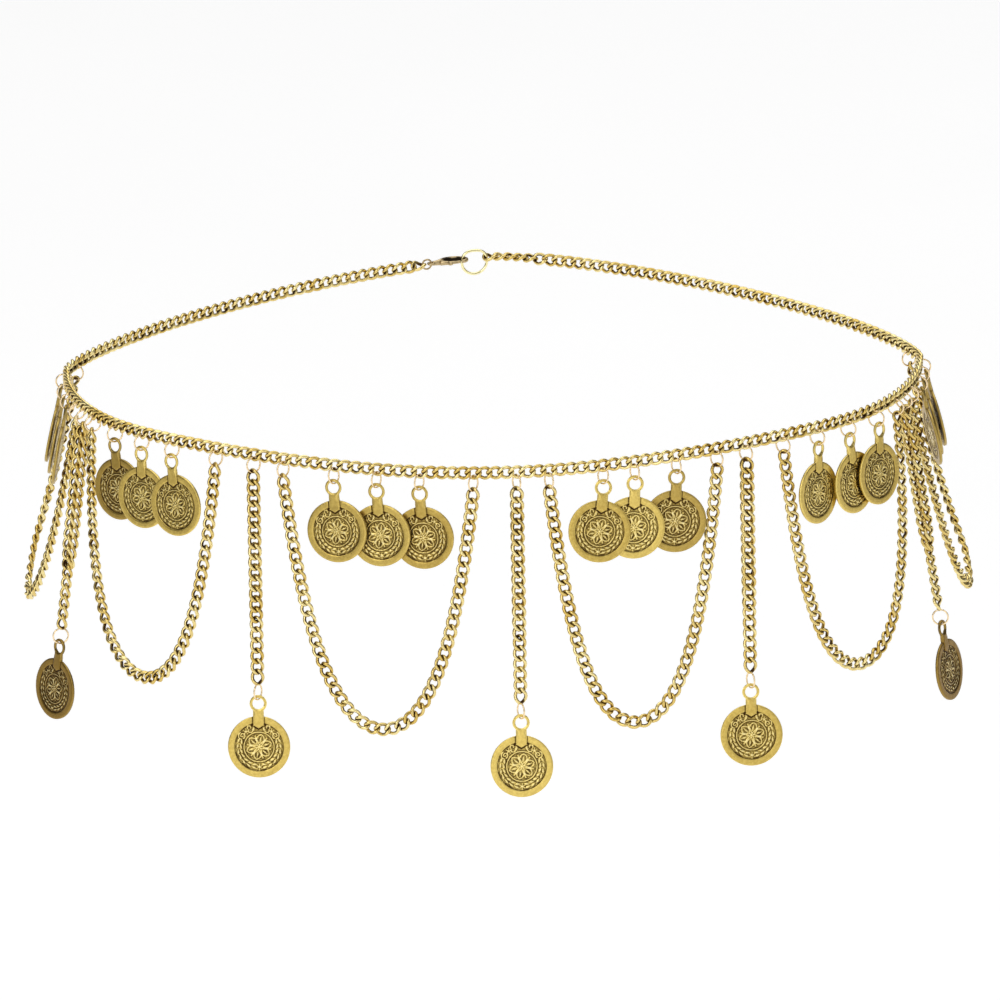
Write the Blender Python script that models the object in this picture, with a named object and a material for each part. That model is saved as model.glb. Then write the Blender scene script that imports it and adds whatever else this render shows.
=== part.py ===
"""Coin body chain: a curb-chain belt with swags, doubled drops and coins that hang on jump rings.

The origin is the centre of the belt's loop, at the widest line, in the plane of the belt. The front is -Y.
Places along the belt are counted in links from the front centre, towards +X. A place below the belt lies
on a general figure that spreads evenly downwards.
"""

import math

import bmesh
import bpy
import numpy as np
from mathutils import Matrix, Vector

UP = np.array([0.0, 0.0, 1.0])

# Curb chain
PITCH = 0.00395
CHAIN_WIDTH = 0.0048
CHAIN_THICKNESS = 0.0024
CHAIN_CHAMFER = 0.0007
LINK_WIRE = 0.0011

# An end link: how far it reaches past the ring's wire, and its hole
EYE_REACH = 0.0019
EYE_SLOT_WIDTH = 0.0026
EYE_SLOT_LENGTH = 0.0030

# Lengths of chain that one straight section spans
BELT_SPACING = 2.6 * PITCH
LEG_SPACING = 2.4 * PITCH
BOW_SPACING = 1.3 * PITCH
BOW_SHARE = 0.24

# Belt loop, seen from above: two half superellipses that meet at the widest line
BELT_HALF_WIDTH = 0.160
BELT_FRONT = 0.1205
BELT_BACK = 0.133
FRONT_ROUNDNESS = 2.1
BACK_ROUNDNESS = 1.38
BELT_SAMPLES = 6000
TANGENT_REACH = 0.003
FIRST_LINK_OFFSET = -0.3

# The belt dips at the front centre, stands a little proud on both sides of it and is level further back
BELT_DIP = 0.0015
DIP_REACH = 0.110
DIP_FADE = 0.060

# The figure's slope: how far out a point hangs for each unit of depth, forwards and, at the sides, sideways
SLOPE_FRONT = 0.175
SLOPE_SIDE = 0.220
SLOPE_SIDE_POWER = 8.5

# Jump rings
RING_RADIUS = 0.0029
RING_WIRE = 0.00065
RING_TOP_DEPTH = 0.00098
STRAND_SWING = math.radians(10)
RING_SIDES = 8

# Coins: sizes as shares of the disc's radius
COIN_RADIUS = 0.0115
COIN_THICKNESS = 0.0011
COIN_RECESS = 0.00018
RIM_INNER = 0.797
EYE_HEIGHT = 1.409
EYE_OUTER = 0.278
EYE_HOLE = 0.185
TAB_HALF_WIDTH = 0.174
TAB_TIP = 0.600
TAB_POINT = 0.6 * TAB_HALF_WIDTH
DISC_SIDES = 20
FIELD_SIDES = 14
EYE_SIDES = 8

# Clearances between solids
SEAM = 0.0003
EYE_CLEARANCE = 0.00033
COIN_PIVOT = (EYE_HEIGHT + EYE_HOLE) * COIN_RADIUS - EYE_CLEARANCE - RING_WIRE / 2

# Drops: two strands side by side above, one below. Places on a drop are counted in links from its ring
DOUBLED_LINKS = 14
TAIL_LINKS = 6
STRAND_SPACING = 0.0030
DROP_PROFILE = (
    {"links": -EYE_REACH / PITCH, "spread": 0.0},
    {"links": 0.8, "spread": 0.0},
    {"links": 2.6, "spread": STRAND_SPACING},
    {"links": DOUBLED_LINKS - 2.2, "spread": STRAND_SPACING},
    {"links": DOUBLED_LINKS, "spread": 0.0},
    {"links": DOUBLED_LINKS + TAIL_LINKS + 0.25, "spread": 0.0},
)
DROP_SLOT = {"start": 1.9, "end": DOUBLED_LINKS - 1.4, "width": STRAND_SPACING - CHAIN_THICKNESS}

# Clasp and closing ring, placed along the belt from the front centre towards -X
CLOSING_RING_RADIUS = 0.0047
CLOSING_RING_WIRE = 0.0011
CLOSING_RING_SIDES = 14
CLOSING_RING_WIRE_SIDES = 6
CLOSING_RING_ALONG = -0.4288
CLASP_LENGTH = 0.0166
CLASP_WIDTH = 0.0062
CLASP_THICKNESS = 0.0026
CLASP_PAST_RING = 0.0018
CLASP_RING_RADIUS = 0.0019
CLASP_RING_WIRE = 0.0007
CLASP_EYE_RADIUS = 0.00085
CLASP_EYE_INSET = 0.0015
LEVER_THICKNESS = 0.7 * CLASP_THICKNESS
CLASP_TONGUE_THICKNESS = 0.0014
CLASP_TONGUE_LENGTH = 0.0034
CHAIN_END_LEFT = -0.40825

# The chain's ends lie on their sides for a length, then turn flat over another
LEFT_TWIST = {"held": 0.0, "turning": 2.0 * PITCH}
RIGHT_TWIST = {"held": 4.5 * PITCH, "turning": 2.5 * PITCH}
END_TWIST_SECTIONS = 8

# Outlines that lie flat, as shares of the clasp's half length (along) and half width (out)
CLASP_BODY = {
    "along": (1, 0.735, 0.361, -0.120, -0.578, -0.867, -1, -0.952, -0.747, -0.434, 0.072, 0.410, 0.735, 1),
    "out": (0.29, 0.45, 0.68, 1, 1, 0.68, 0.13, -0.39, -0.84, -1, -1, -0.71, -0.45, -0.29),
}
CLASP_MOUTH = {
    "along": (-0.855, -0.482, -0.048, 0.193, 0.072, 0.024, -0.506, -0.602, -0.855),
    "out": (0.29, 0.58, 0.58, 0.194, -0.387, -1.355, -1.355, -0.387, -0.29),
}
CLASP_LEVER = {
    "along": (-0.542, -0.012, -0.012, -0.120, -0.241, -0.470),
    "out": (-0.452, -0.452, -1.097, -1.355, -0.968, -0.968),
}

# Belt links on which each swag starts and ends, and the links in it
SWAGS = (
    {"start": -59, "end": -47, "links": 44},
    {"start": -43, "end": -26, "links": 50},
    {"start": -19, "end": -1, "links": 52},
    {"start": 6, "end": 22, "links": 51},
    {"start": 29, "end": 45, "links": 50},
    {"start": 49, "end": 60, "links": 45},
)

# Belt links that carry a trio's coins, and in degrees each coin's turn away from the belt's normal, how far
# its ring swings out, and how far its foot leans towards +X
TRIOS = (
    {"links": (-56, -53, -50), "turn": (-1, -9, -16), "swing": (24, 16, 20), "lean": (0, 0, 0)},
    {"links": (-39, -35, -31), "turn": (14, 8, 2), "swing": (6, 6, 14), "lean": (10, 3, 7)},
    {"links": (-14, -10, -6), "turn": (-4, -6, -8), "swing": (26, 14, 10), "lean": (4, 4, 4)},
    {"links": (11, 14, 18), "turn": (-3, -8, -13), "swing": (26, 14, 10), "lean": (-6, -3, -3)},
    {"links": (33, 37, 41), "turn": (13, 4, -4), "swing": (10, 10, 26), "lean": (-4, 5, -9)},
    {"links": (52, 55, 57), "turn": (21, 11, 2), "swing": (24, 16, 28), "lean": (0, 0, 0)},
)

# Belt links that carry a drop, and in degrees how far the drop turns from the belt's normal
DROPS = (-45, -22, 3, 25, 47)
DROP_TURNS = (15, 22, 0, -22, -2)

# Belt stretches, by the links at which they are cut
BELT_CUTS = (-82.5, -61.5, -44, -28.5, -8, 8.5, 27, 43, 62.5, 87.5)
BELT_NAMES = (
    "belt_back_left",
    "belt_left_back",
    "belt_left_side",
    "belt_left_front",
    "belt_front_left",
    "belt_front_centre",
    "belt_front_right",
    "belt_right_front",
    "belt_right_side",
    "belt_right_back",
    "belt_back_right",
)

FINISHES = {
    "chain_gold": {"colour": (0.62, 0.44, 0.14), "roughness": 0.30},
    "coin_gold": {"colour": (0.48, 0.36, 0.12), "roughness": 0.38},
    "clasp_bronze": {"colour": (0.34, 0.28, 0.18), "roughness": 0.35},
    "closing_ring_gold": {"colour": (0.78, 0.68, 0.40), "roughness": 0.22},
}


def belt_curve():
    """The length along the belt from the front centre, with the plan point there."""
    turn = np.linspace(-math.pi / 2, 1.5 * math.pi, BELT_SAMPLES)
    cosine, sine = np.cos(turn), np.sin(turn)
    roundness = np.where(sine < 0, FRONT_ROUNDNESS, BACK_ROUNDNESS)
    depth = np.where(sine < 0, BELT_FRONT, BELT_BACK)
    x = BELT_HALF_WIDTH * np.sign(cosine) * np.abs(cosine) ** (2 / roundness)
    y = depth * np.sign(sine) * np.abs(sine) ** (2 / roundness)
    steps = np.hypot(np.diff(x), np.diff(y))
    return np.concatenate([[0], np.cumsum(steps)]), x, y


BELT = belt_curve()
BELT_LENGTH = BELT[0][-1]
CLOSING_RING_FAR = CLOSING_RING_ALONG - CLOSING_RING_RADIUS + BELT_LENGTH
CHAIN_END_RIGHT = CLOSING_RING_FAR + EYE_REACH


def belt_rise(along):
    away = min(along % BELT_LENGTH, -along % BELT_LENGTH)
    if away < DIP_REACH:
        return -BELT_DIP * math.cos(math.pi * away / DIP_REACH)
    fade = min(1.0, (away - DIP_REACH) / DIP_FADE)
    return BELT_DIP * (1 + math.cos(math.pi * fade)) / 2


def belt_point(along):
    """The point at a length along the belt, which may be negative."""
    wrapped = along % BELT_LENGTH
    x, y = (np.interp(wrapped, BELT[0], values) for values in BELT[1:])
    return np.array([x, y, belt_rise(along)])


def belt_frame(along):
    """Point, level direction along the belt towards +X at the front, and the direction outwards."""
    ahead = (belt_point(along + TANGENT_REACH) - belt_point(along - TANGENT_REACH)) * (1, 1, 0)
    tangent = ahead / np.linalg.norm(ahead)
    return belt_point(along), tangent, np.array([tangent[1], -tangent[0], 0.0])


def link_along(link):
    return (link + FIRST_LINK_OFFSET) * PITCH


def hang_direction(along):
    """The way down the figure, with a fall of 1."""
    point, _, outward = belt_frame(along)
    share = abs(point[0] / BELT_HALF_WIDTH) ** SLOPE_SIDE_POWER
    return np.array([SLOPE_SIDE * math.copysign(share, point[0]), SLOPE_FRONT * outward[1], -1.0])


def ring_points(along, swing):
    """Centre and lowest point of a jump ring that hangs on the belt and swings out by an angle."""
    point, _, outward = belt_frame(along)
    down = outward * math.sin(swing) - np.array([0, 0, math.cos(swing)])
    top = point - np.array([0, 0, RING_TOP_DEPTH])
    return top + down * RING_RADIUS, top + down * 2 * RING_RADIUS


STRAND_DEPTH = RING_TOP_DEPTH + 2 * RING_RADIUS * math.cos(STRAND_SWING)


def hang_point(along, depth):
    """A point on the figure at a depth below the belt: what hangs there starts at its ring's lowest point."""
    _, lowest = ring_points(along, STRAND_SWING)
    return lowest + hang_direction(along) * (depth - STRAND_DEPTH)


def hang_axes(along, turn=0.0):
    """Across, outwards and up of what lies on the figure, turned from the belt's normal."""
    _, tangent, outward = belt_frame(along)
    direction = hang_direction(along)
    up = -direction / np.linalg.norm(direction)
    facing = outward * math.cos(turn) + tangent * math.sin(turn)
    through = facing - up * (facing @ up)
    through /= np.linalg.norm(through)
    return np.cross(up, through), through, up


def swag_line(swag, sag, samples=160):
    """A catenary between the swag's two rings, as lengths along the belt and depths on the figure."""
    start, end = link_along(swag["start"]), link_along(swag["end"])
    half = (end - start) / 2
    offset = np.linspace(-1, 1, samples) * half
    depth = STRAND_DEPTH + sag * (math.cosh(half / sag) - np.cosh(offset / sag))
    return start + half + offset, depth


def line_points(alongs, depths):
    return np.array([hang_point(along, depth) for along, depth in zip(alongs, depths)])


def swag_curve(swag):
    """The swag's line whose length is that of its links, found by halving the range of the sag."""
    low, high = 0.006, 0.06
    for _ in range(30):
        sag = (low + high) / 2
        alongs, depths = swag_line(swag, sag)
        length = np.linalg.norm(np.diff(line_points(alongs, depths), axis=0), axis=1).sum()
        if length > swag["links"] * PITCH:
            low = sag
        else:
            high = sag
    return alongs, depths


def clear_scene():
    for thing in list(bpy.data.objects):
        bpy.data.objects.remove(thing, do_unlink=True)


def finish(name):
    made = bpy.data.materials.get(name)
    if made is None:
        made = bpy.data.materials.new(name)
        made.use_nodes = True
        shader = made.node_tree.nodes["Principled BSDF"]
        shader.inputs["Base Color"].default_value = (*FINISHES[name]["colour"], 1)
        shader.inputs["Roughness"].default_value = FINISHES[name]["roughness"]
        shader.inputs["Metallic"].default_value = 1.0
    return made


def add_object(name, bm, finish_name, helper=False):
    mesh = bpy.data.meshes.new(name)
    bm.normal_update()
    bm.to_mesh(mesh)
    bm.free()
    thing = bpy.data.objects.new(name, mesh)
    bpy.context.scene.collection.objects.link(thing)
    if helper:
        thing.hide_render = True
        thing.display_type = "WIRE"
    else:
        mesh.materials.append(finish(finish_name))
    return thing


def boolean(thing, other, operation):
    modifier = thing.modifiers.new(operation.title(), "BOOLEAN")
    modifier.operation = operation
    modifier.object = other


def loft(bm, sections):
    """Joins rings of equally many points into one closed tube with flat ends."""
    rings = [[bm.verts.new(Vector(point)) for point in section] for section in sections]
    sides = len(rings[0])
    for here, there in zip(rings, rings[1:]):
        for i in range(sides):
            j = (i + 1) % sides
            bm.faces.new((here[i], here[j], there[j], there[i]))
    bm.faces.new(rings[0][::-1])
    bm.faces.new(rings[-1])
    bmesh.ops.recalc_face_normals(bm, faces=bm.faces[:])


def band_section(centre, wide, outward, thickness=CHAIN_THICKNESS):
    """Six corners of the chain's envelope across one place."""
    half, flat = CHAIN_WIDTH / 2, CHAIN_WIDTH / 2 - CHAIN_CHAMFER
    corners = (
        (-half, 0),
        (-flat, thickness / 2),
        (flat, thickness / 2),
        (half, 0),
        (flat, -thickness / 2),
        (-flat, -thickness / 2),
    )
    return [centre + wide * across + outward * out for across, out in corners]


def directions(points):
    ahead = np.gradient(points, axis=0)
    return ahead / np.linalg.norm(ahead, axis=1)[:, None]


def prism(bm, outline, axis_x, axis_y, axis_z, centre, thickness):
    """A flat outline, given in two directions, made solid along the third about its centre."""
    for_side = []
    for side in (-0.5, 0.5):
        shift = centre + axis_z * (thickness * side)
        for_side.append([bm.verts.new(Vector(shift + axis_x * x + axis_y * y)) for x, y in outline])
    low, high = for_side
    count = len(outline)
    faces = [bm.faces.new(low[::-1]), bm.faces.new(high)]
    for i in range(count):
        j = (i + 1) % count
        faces.append(bm.faces.new((low[i], low[j], high[j], high[i])))
    bmesh.ops.recalc_face_normals(bm, faces=faces)


def arc(radius, start, end, count, centre=(0.0, 0.0)):
    """Points on an arc, angles in radians from +X of the outline."""
    angles = np.linspace(start, end, count)
    return [(centre[0] + radius * math.cos(a), centre[1] + radius * math.sin(a)) for a in angles]


def ring_solid(bm, centre, axis_a, axis_b, radius, wire, sides=RING_SIDES, wire_sides=4):
    """A wire ring in the plane of two directions, with the middle of each straight side on the circle."""
    across = np.cross(axis_a, axis_b)
    radius = radius / math.cos(math.pi / sides)
    loops = []
    for i in range(sides):
        angle = 2 * math.pi * (i + 0.5) / sides
        out = axis_a * math.cos(angle) + axis_b * math.sin(angle)
        corners = []
        for k in range(wire_sides):
            round_wire = 2 * math.pi * (k + 0.5) / wire_sides
            corner = wire / 2 / math.cos(math.pi / wire_sides)
            reach = radius + corner * math.cos(round_wire)
            lift = corner * math.sin(round_wire)
            corners.append(bm.verts.new(Vector(centre + out * reach + across * lift)))
        loops.append(corners)
    faces = []
    for i in range(sides):
        here, there = loops[i], loops[(i + 1) % sides]
        for k in range(wire_sides):
            n = (k + 1) % wire_sides
            faces.append(bm.faces.new((here[k], here[n], there[n], there[k])))
    bmesh.ops.recalc_face_normals(bm, faces=faces)


def hanging_ring(bm, along, swing):
    _, _, outward = belt_frame(along)
    centre, lowest = ring_points(along, swing)
    upward = (centre - lowest) / RING_RADIUS
    sideways = outward * math.cos(swing) + UP * math.sin(swing)
    ring_solid(bm, centre, sideways, upward, RING_RADIUS, RING_WIRE)


def belt_rings():
    """Every ring on the belt: its link and how far it swings out."""
    rings = [(link, STRAND_SWING) for link in DROPS]
    for swag in SWAGS:
        rings += [(swag["start"], STRAND_SWING), (swag["end"], STRAND_SWING)]
    for trio in TRIOS:
        rings += [(link, math.radians(swing)) for link, swing in zip(trio["links"], trio["swing"])]
    return sorted(rings)


def end_twist(along):
    """The chain turns on its side towards the clasp and the closing ring."""
    shares = []
    for from_end, twist in ((along - CHAIN_END_LEFT, LEFT_TWIST), (CHAIN_END_RIGHT - along, RIGHT_TWIST)):
        turned = (from_end - twist["held"]) / twist["turning"]
        shares.append(1 - min(1.0, max(0.0, turned)))
    share = max(shares)
    return math.pi / 2 * share * share * (3 - 2 * share)


def eye_cutter(bm, wire_point, direction, wide, outward):
    """The hole of an end link: it starts at the ring's wire and runs down the chain."""
    half = EYE_SLOT_WIDTH / 2
    top = LINK_WIRE - EYE_REACH
    bottom = top + EYE_SLOT_LENGTH
    outline = [(-half, top), (half, top), (half, bottom), (-half, bottom)]
    prism(bm, outline, wide, direction, outward, wire_point, 4 * CHAIN_THICKNESS)


def belt_stretch(name, start, end):
    at_clasp, at_ring = start == CHAIN_END_LEFT, end == CHAIN_END_RIGHT
    count = round((end - start) / BELT_SPACING) + END_TWIST_SECTIONS * (at_clasp or at_ring)
    bm = bmesh.new()
    sections = []
    for along in np.linspace(start, end, count + 1):
        point, _, outward = belt_frame(along)
        twist = end_twist(along)
        wide = UP * math.cos(twist) + outward * math.sin(twist)
        across = outward * math.cos(twist) - UP * math.sin(twist)
        sections.append(band_section(point, wide, across))
    loft(bm, sections)
    stretch = add_object(name, bm, "chain_gold")
    rings = [item for item in belt_rings() if start < link_along(item[0]) < end]
    helper = bmesh.new()
    for link, swing in rings:
        hanging_ring(helper, link_along(link), swing)
    if at_clasp:
        centre, tangent, _ = belt_frame(CHAIN_END_LEFT - CLASP_RING_RADIUS + CLASP_RING_WIRE)
        ring_solid(helper, centre, tangent, UP, CLASP_RING_RADIUS, CLASP_RING_WIRE)
    if helper.verts:
        boolean(stretch, add_object(f"{name}_rings", helper, None, helper=True), "UNION")
    else:
        helper.free()
    if at_ring:
        cutter = bmesh.new()
        wire_point, tangent, outward = belt_frame(CLOSING_RING_FAR)
        eye_cutter(cutter, wire_point, -tangent, outward, UP)
        boolean(stretch, add_object(f"{name}_eye", cutter, None, helper=True), "DIFFERENCE")


def build_belt():
    cuts = [link_along(cut) for cut in BELT_CUTS]
    starts = [CHAIN_END_LEFT] + [cut + SEAM / 2 for cut in cuts]
    ends = [cut - SEAM / 2 for cut in cuts] + [CHAIN_END_RIGHT]
    for name, start, end in zip(BELT_NAMES, starts, ends):
        belt_stretch(name, start, end)


def strand_sections(points, forwards, normals):
    sections = []
    for point, forward, outward in zip(points, forwards, normals):
        wide = np.cross(forward, outward)
        wide /= np.linalg.norm(wide)
        sections.append(band_section(point, wide, np.cross(wide, forward)))
    return sections


def build_swag(number, swag):
    alongs, depths = swag_curve(swag)
    dense = line_points(alongs, depths)
    lengths = np.concatenate([[0], np.cumsum(np.linalg.norm(np.diff(dense, axis=0), axis=1))])
    headings = directions(dense)
    total = lengths[-1]
    leg = total * (1 - BOW_SHARE) / 2
    names = ("left_leg", "bow", "right_leg")
    starts = (-EYE_REACH, leg + SEAM / 2, total - leg + SEAM / 2)
    ends = (leg - SEAM / 2, total - leg - SEAM / 2, total + EYE_REACH)
    spacings = (LEG_SPACING, BOW_SPACING, LEG_SPACING)
    for name, start, end, spacing in zip(names, starts, ends, spacings):
        count = round((end - start) / spacing)
        wanted = np.linspace(start, end, count + 1)
        inside = np.clip(wanted, 0, total)
        points = np.stack([np.interp(inside, lengths, dense[:, i]) for i in range(3)], axis=1)
        forwards = np.stack([np.interp(inside, lengths, headings[:, i]) for i in range(3)], axis=1)
        forwards /= np.linalg.norm(forwards, axis=1)[:, None]
        first, last = headings[0], headings[-1]
        points += np.outer(np.minimum(wanted, 0), first) + np.outer(np.maximum(wanted - total, 0), last)
        normals = [hang_axes(np.interp(at, lengths, alongs))[1] for at in inside]
        bm = bmesh.new()
        loft(bm, strand_sections(points, forwards, normals))
        piece = add_object(f"swag_{number}_{name}", bm, "chain_gold")
        if name == "bow":
            continue
        at_start = name == "left_leg"
        ring_point, forward = (dense[0], first) if at_start else (dense[-1], -last)
        outward = hang_axes(alongs[0 if at_start else -1])[1]
        wide = np.cross(forward, outward)
        cutter = bmesh.new()
        eye_cutter(cutter, ring_point, forward, wide, outward)
        boolean(piece, add_object(f"{piece.name}_eye", cutter, None, helper=True), "DIFFERENCE")


def drop_ring(along):
    """Centre and lowest point of the ring at the end of a drop's tail."""
    up = hang_axes(along)[2]
    top = hang_point(along, STRAND_DEPTH) - up * (DOUBLED_LINKS + TAIL_LINKS) * PITCH
    return top - up * RING_RADIUS, top - up * 2 * RING_RADIUS


def build_drop(number, link, turn):
    along = link_along(link)
    across, outward, up = hang_axes(along, turn)
    top = hang_point(along, STRAND_DEPTH)
    bm = bmesh.new()
    sections = []
    for row in DROP_PROFILE:
        centre = top - up * row["links"] * PITCH
        sections.append(band_section(centre, across, outward, row["spread"] + CHAIN_THICKNESS))
    loft(bm, sections)
    drop = add_object(f"drop_{number}", bm, "chain_gold")
    cutter = bmesh.new()
    eye_cutter(cutter, top, -up, across, outward)
    first, last, half = DROP_SLOT["start"] * PITCH, DROP_SLOT["end"] * PITCH, DROP_SLOT["width"] / 2
    outline = [(-half, first), (half, first), (half, last), (-half, last)]
    prism(cutter, outline, outward, -up, across, top, 2 * CHAIN_WIDTH)
    boolean(drop, add_object(f"drop_{number}_cuts", cutter, None, helper=True), "DIFFERENCE")
    ring = bmesh.new()
    centre, _ = drop_ring(along)
    ring_solid(ring, centre, outward, up, RING_RADIUS, RING_WIRE)
    boolean(drop, add_object(f"drop_{number}_ring", ring, None, helper=True), "UNION")


def coin_outline():
    """Disc, neck and eye in one outline, in the coin's own plane with the disc's centre at 0, 0."""
    disc_turn = math.asin(TAB_HALF_WIDTH)
    disc = arc(COIN_RADIUS, math.pi / 2 + disc_turn, 2.5 * math.pi - disc_turn, DISC_SIDES)
    eye_turn = math.asin(TAB_HALF_WIDTH / EYE_OUTER)
    eye = arc(
        EYE_OUTER * COIN_RADIUS,
        -math.pi / 2 + eye_turn,
        1.5 * math.pi - eye_turn,
        EYE_SIDES,
        (0.0, EYE_HEIGHT * COIN_RADIUS),
    )
    return disc + eye


def recess_outline():
    """The sunken field: a disc inside the rim, notched by the tab's pointed end."""
    inner = RIM_INNER * COIN_RADIUS
    neck = TAB_HALF_WIDTH * COIN_RADIUS
    turn = math.asin(TAB_HALF_WIDTH / RIM_INNER)
    field = arc(inner, math.pi / 2 + turn, 2.5 * math.pi - turn, FIELD_SIDES)
    shoulder = (TAB_TIP + TAB_POINT) * COIN_RADIUS
    return field + [(neck, shoulder), (0.0, TAB_TIP * COIN_RADIUS), (-neck, shoulder)]


def coin_mesh():
    """One coin in its own frame: X across, Z up, Y through the thickness, the pivot at the origin."""
    centre = np.array([0.0, 0.0, -COIN_PIVOT])
    side, up, through = np.array([1.0, 0, 0]), UP, np.array([0, -1.0, 0])
    body = bmesh.new()
    prism(body, coin_outline(), side, up, through, centre, COIN_THICKNESS)
    blank = add_object("coin_blank", body, "coin_gold")
    cuts = bmesh.new()
    hole = arc(EYE_HOLE * COIN_RADIUS, 0, 2 * math.pi * (1 - 1 / EYE_SIDES), EYE_SIDES)
    eye_centre = centre + up * EYE_HEIGHT * COIN_RADIUS
    prism(cuts, hole, side, up, through, eye_centre, 3 * COIN_THICKNESS)
    for face in (-1, 1):
        level = centre + through * face * (COIN_THICKNESS - COIN_RECESS)
        prism(cuts, recess_outline(), side, up, through, level, COIN_THICKNESS)
    cutter = add_object("coin_cuts", cuts, None, helper=True)
    boolean(blank, cutter, "DIFFERENCE")
    graph = bpy.context.evaluated_depsgraph_get()
    mesh = bpy.data.meshes.new_from_object(blank.evaluated_get(graph))
    mesh.name = "coin"
    bpy.data.objects.remove(blank, do_unlink=True)
    bpy.data.objects.remove(cutter, do_unlink=True)
    return mesh


def place_coin(name, mesh, pivot, along, turn, lean):
    across, through, up = hang_axes(along, turn)
    side = across * math.cos(lean) + up * math.sin(lean)
    top = up * math.cos(lean) - across * math.sin(lean)
    coin = bpy.data.objects.new(name, mesh)
    bpy.context.scene.collection.objects.link(coin)
    matrix = np.eye(4)
    matrix[:3, 0], matrix[:3, 1], matrix[:3, 2], matrix[:3, 3] = side, -through, top, pivot
    coin.matrix_world = Matrix(matrix.tolist())


def build_coins():
    mesh = coin_mesh()
    for number, trio in enumerate(TRIOS):
        columns = (trio["links"], *(np.radians(trio[key]) for key in ("turn", "swing", "lean")))
        for place, (link, turn, swing, lean) in enumerate(zip(*columns)):
            along = link_along(link)
            _, pivot = ring_points(along, swing)
            place_coin(f"trio_{number}_coin_{place}", mesh, pivot, along, turn, lean)
    for number, (link, turn) in enumerate(zip(DROPS, np.radians(DROP_TURNS))):
        along = link_along(link)
        _, pivot = drop_ring(along)
        place_coin(f"drop_{number}_coin", mesh, pivot, along, turn, 0.0)


def build_closing_ring():
    centre, tangent, _ = belt_frame(CLOSING_RING_ALONG)
    bm = bmesh.new()
    sides, wire_sides = CLOSING_RING_SIDES, CLOSING_RING_WIRE_SIDES
    ring_solid(bm, centre, tangent, UP, CLOSING_RING_RADIUS, CLOSING_RING_WIRE, sides, wire_sides)
    add_object("closing_ring", bm, "closing_ring_gold")


def clasp_outline(shares):
    return [
        (along * CLASP_LENGTH / 2, out * CLASP_WIDTH / 2)
        for along, out in zip(shares["along"], shares["out"])
    ]


def build_clasp():
    """A lobster clasp that lies flat: its hook goes round the closing ring's near wire."""
    near_wire = CLOSING_RING_ALONG + CLOSING_RING_RADIUS - CLOSING_RING_WIRE / 2
    middle, tangent, outward = belt_frame(near_wire - CLASP_PAST_RING + CLASP_LENGTH / 2)
    body = bmesh.new()
    prism(body, clasp_outline(CLASP_BODY), tangent, outward, UP, middle, CLASP_THICKNESS)
    clasp = add_object("clasp_body", body, "clasp_bronze")
    cuts = bmesh.new()
    prism(cuts, clasp_outline(CLASP_MOUTH), tangent, outward, UP, middle, 3 * CLASP_THICKNESS)
    eye_centre = (CLASP_LENGTH / 2 - CLASP_EYE_INSET, 0.0)
    eye = arc(CLASP_EYE_RADIUS, 0, 2 * math.pi * (1 - 1 / EYE_SIDES), EYE_SIDES, eye_centre)
    prism(cuts, eye, tangent, outward, UP, middle, 3 * CLASP_THICKNESS)
    boolean(clasp, add_object("clasp_cuts", cuts, None, helper=True), "DIFFERENCE")
    cheeks = bmesh.new()
    start, half = CLASP_LENGTH / 2 - CLASP_TONGUE_LENGTH, CLASP_WIDTH
    outline = [(start, -half), (CLASP_LENGTH, -half), (CLASP_LENGTH, half), (start, half)]
    for side in (-1, 1):
        level = middle + UP * side * (CLASP_TONGUE_THICKNESS + CLASP_THICKNESS) / 2
        prism(cheeks, outline, tangent, outward, UP, level, CLASP_THICKNESS)
    boolean(clasp, add_object("clasp_cheeks", cheeks, None, helper=True), "DIFFERENCE")
    lever = bmesh.new()
    prism(lever, clasp_outline(CLASP_LEVER), tangent, outward, UP, middle, LEVER_THICKNESS)
    add_object("clasp_lever", lever, "clasp_bronze")


clear_scene()
build_belt()
for index, item in enumerate(SWAGS):
    build_swag(index, item)
for index, (place_on, turned) in enumerate(zip(DROPS, np.radians(DROP_TURNS))):
    build_drop(index, place_on, turned)
build_coins()
build_closing_ring()
build_clasp()
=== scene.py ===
"""The looks of the coin body chain: every link, jump ring, coin, the clasp and its ring, as real metal.

Places come from the same figure and belt loop as the solids: lengths along the belt run from the front
centre towards +X, and what hangs lies on a general figure that spreads downwards. The front is -Y.
"""

import math

import bpy
import numpy as np
from mathutils import Matrix, Vector
from mathutils.geometry import delaunay_2d_cdt


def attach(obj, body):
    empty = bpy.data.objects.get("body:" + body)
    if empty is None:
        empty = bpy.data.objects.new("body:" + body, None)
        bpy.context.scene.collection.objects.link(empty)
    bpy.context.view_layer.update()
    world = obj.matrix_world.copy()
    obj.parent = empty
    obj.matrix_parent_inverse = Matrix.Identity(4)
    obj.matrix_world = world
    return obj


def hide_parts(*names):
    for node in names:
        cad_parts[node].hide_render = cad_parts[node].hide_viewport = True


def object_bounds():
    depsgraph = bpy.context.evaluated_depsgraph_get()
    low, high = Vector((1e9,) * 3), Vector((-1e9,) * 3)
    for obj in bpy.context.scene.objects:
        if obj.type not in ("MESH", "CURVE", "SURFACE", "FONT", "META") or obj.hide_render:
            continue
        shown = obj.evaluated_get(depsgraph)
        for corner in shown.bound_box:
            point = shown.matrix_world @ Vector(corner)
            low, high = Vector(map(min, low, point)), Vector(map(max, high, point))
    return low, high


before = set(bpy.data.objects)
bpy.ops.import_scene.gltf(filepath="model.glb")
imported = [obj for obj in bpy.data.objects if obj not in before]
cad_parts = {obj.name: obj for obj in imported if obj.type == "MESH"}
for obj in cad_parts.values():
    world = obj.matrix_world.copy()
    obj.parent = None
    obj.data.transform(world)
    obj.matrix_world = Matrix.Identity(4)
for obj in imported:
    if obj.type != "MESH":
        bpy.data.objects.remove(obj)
cad_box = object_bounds()

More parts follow.
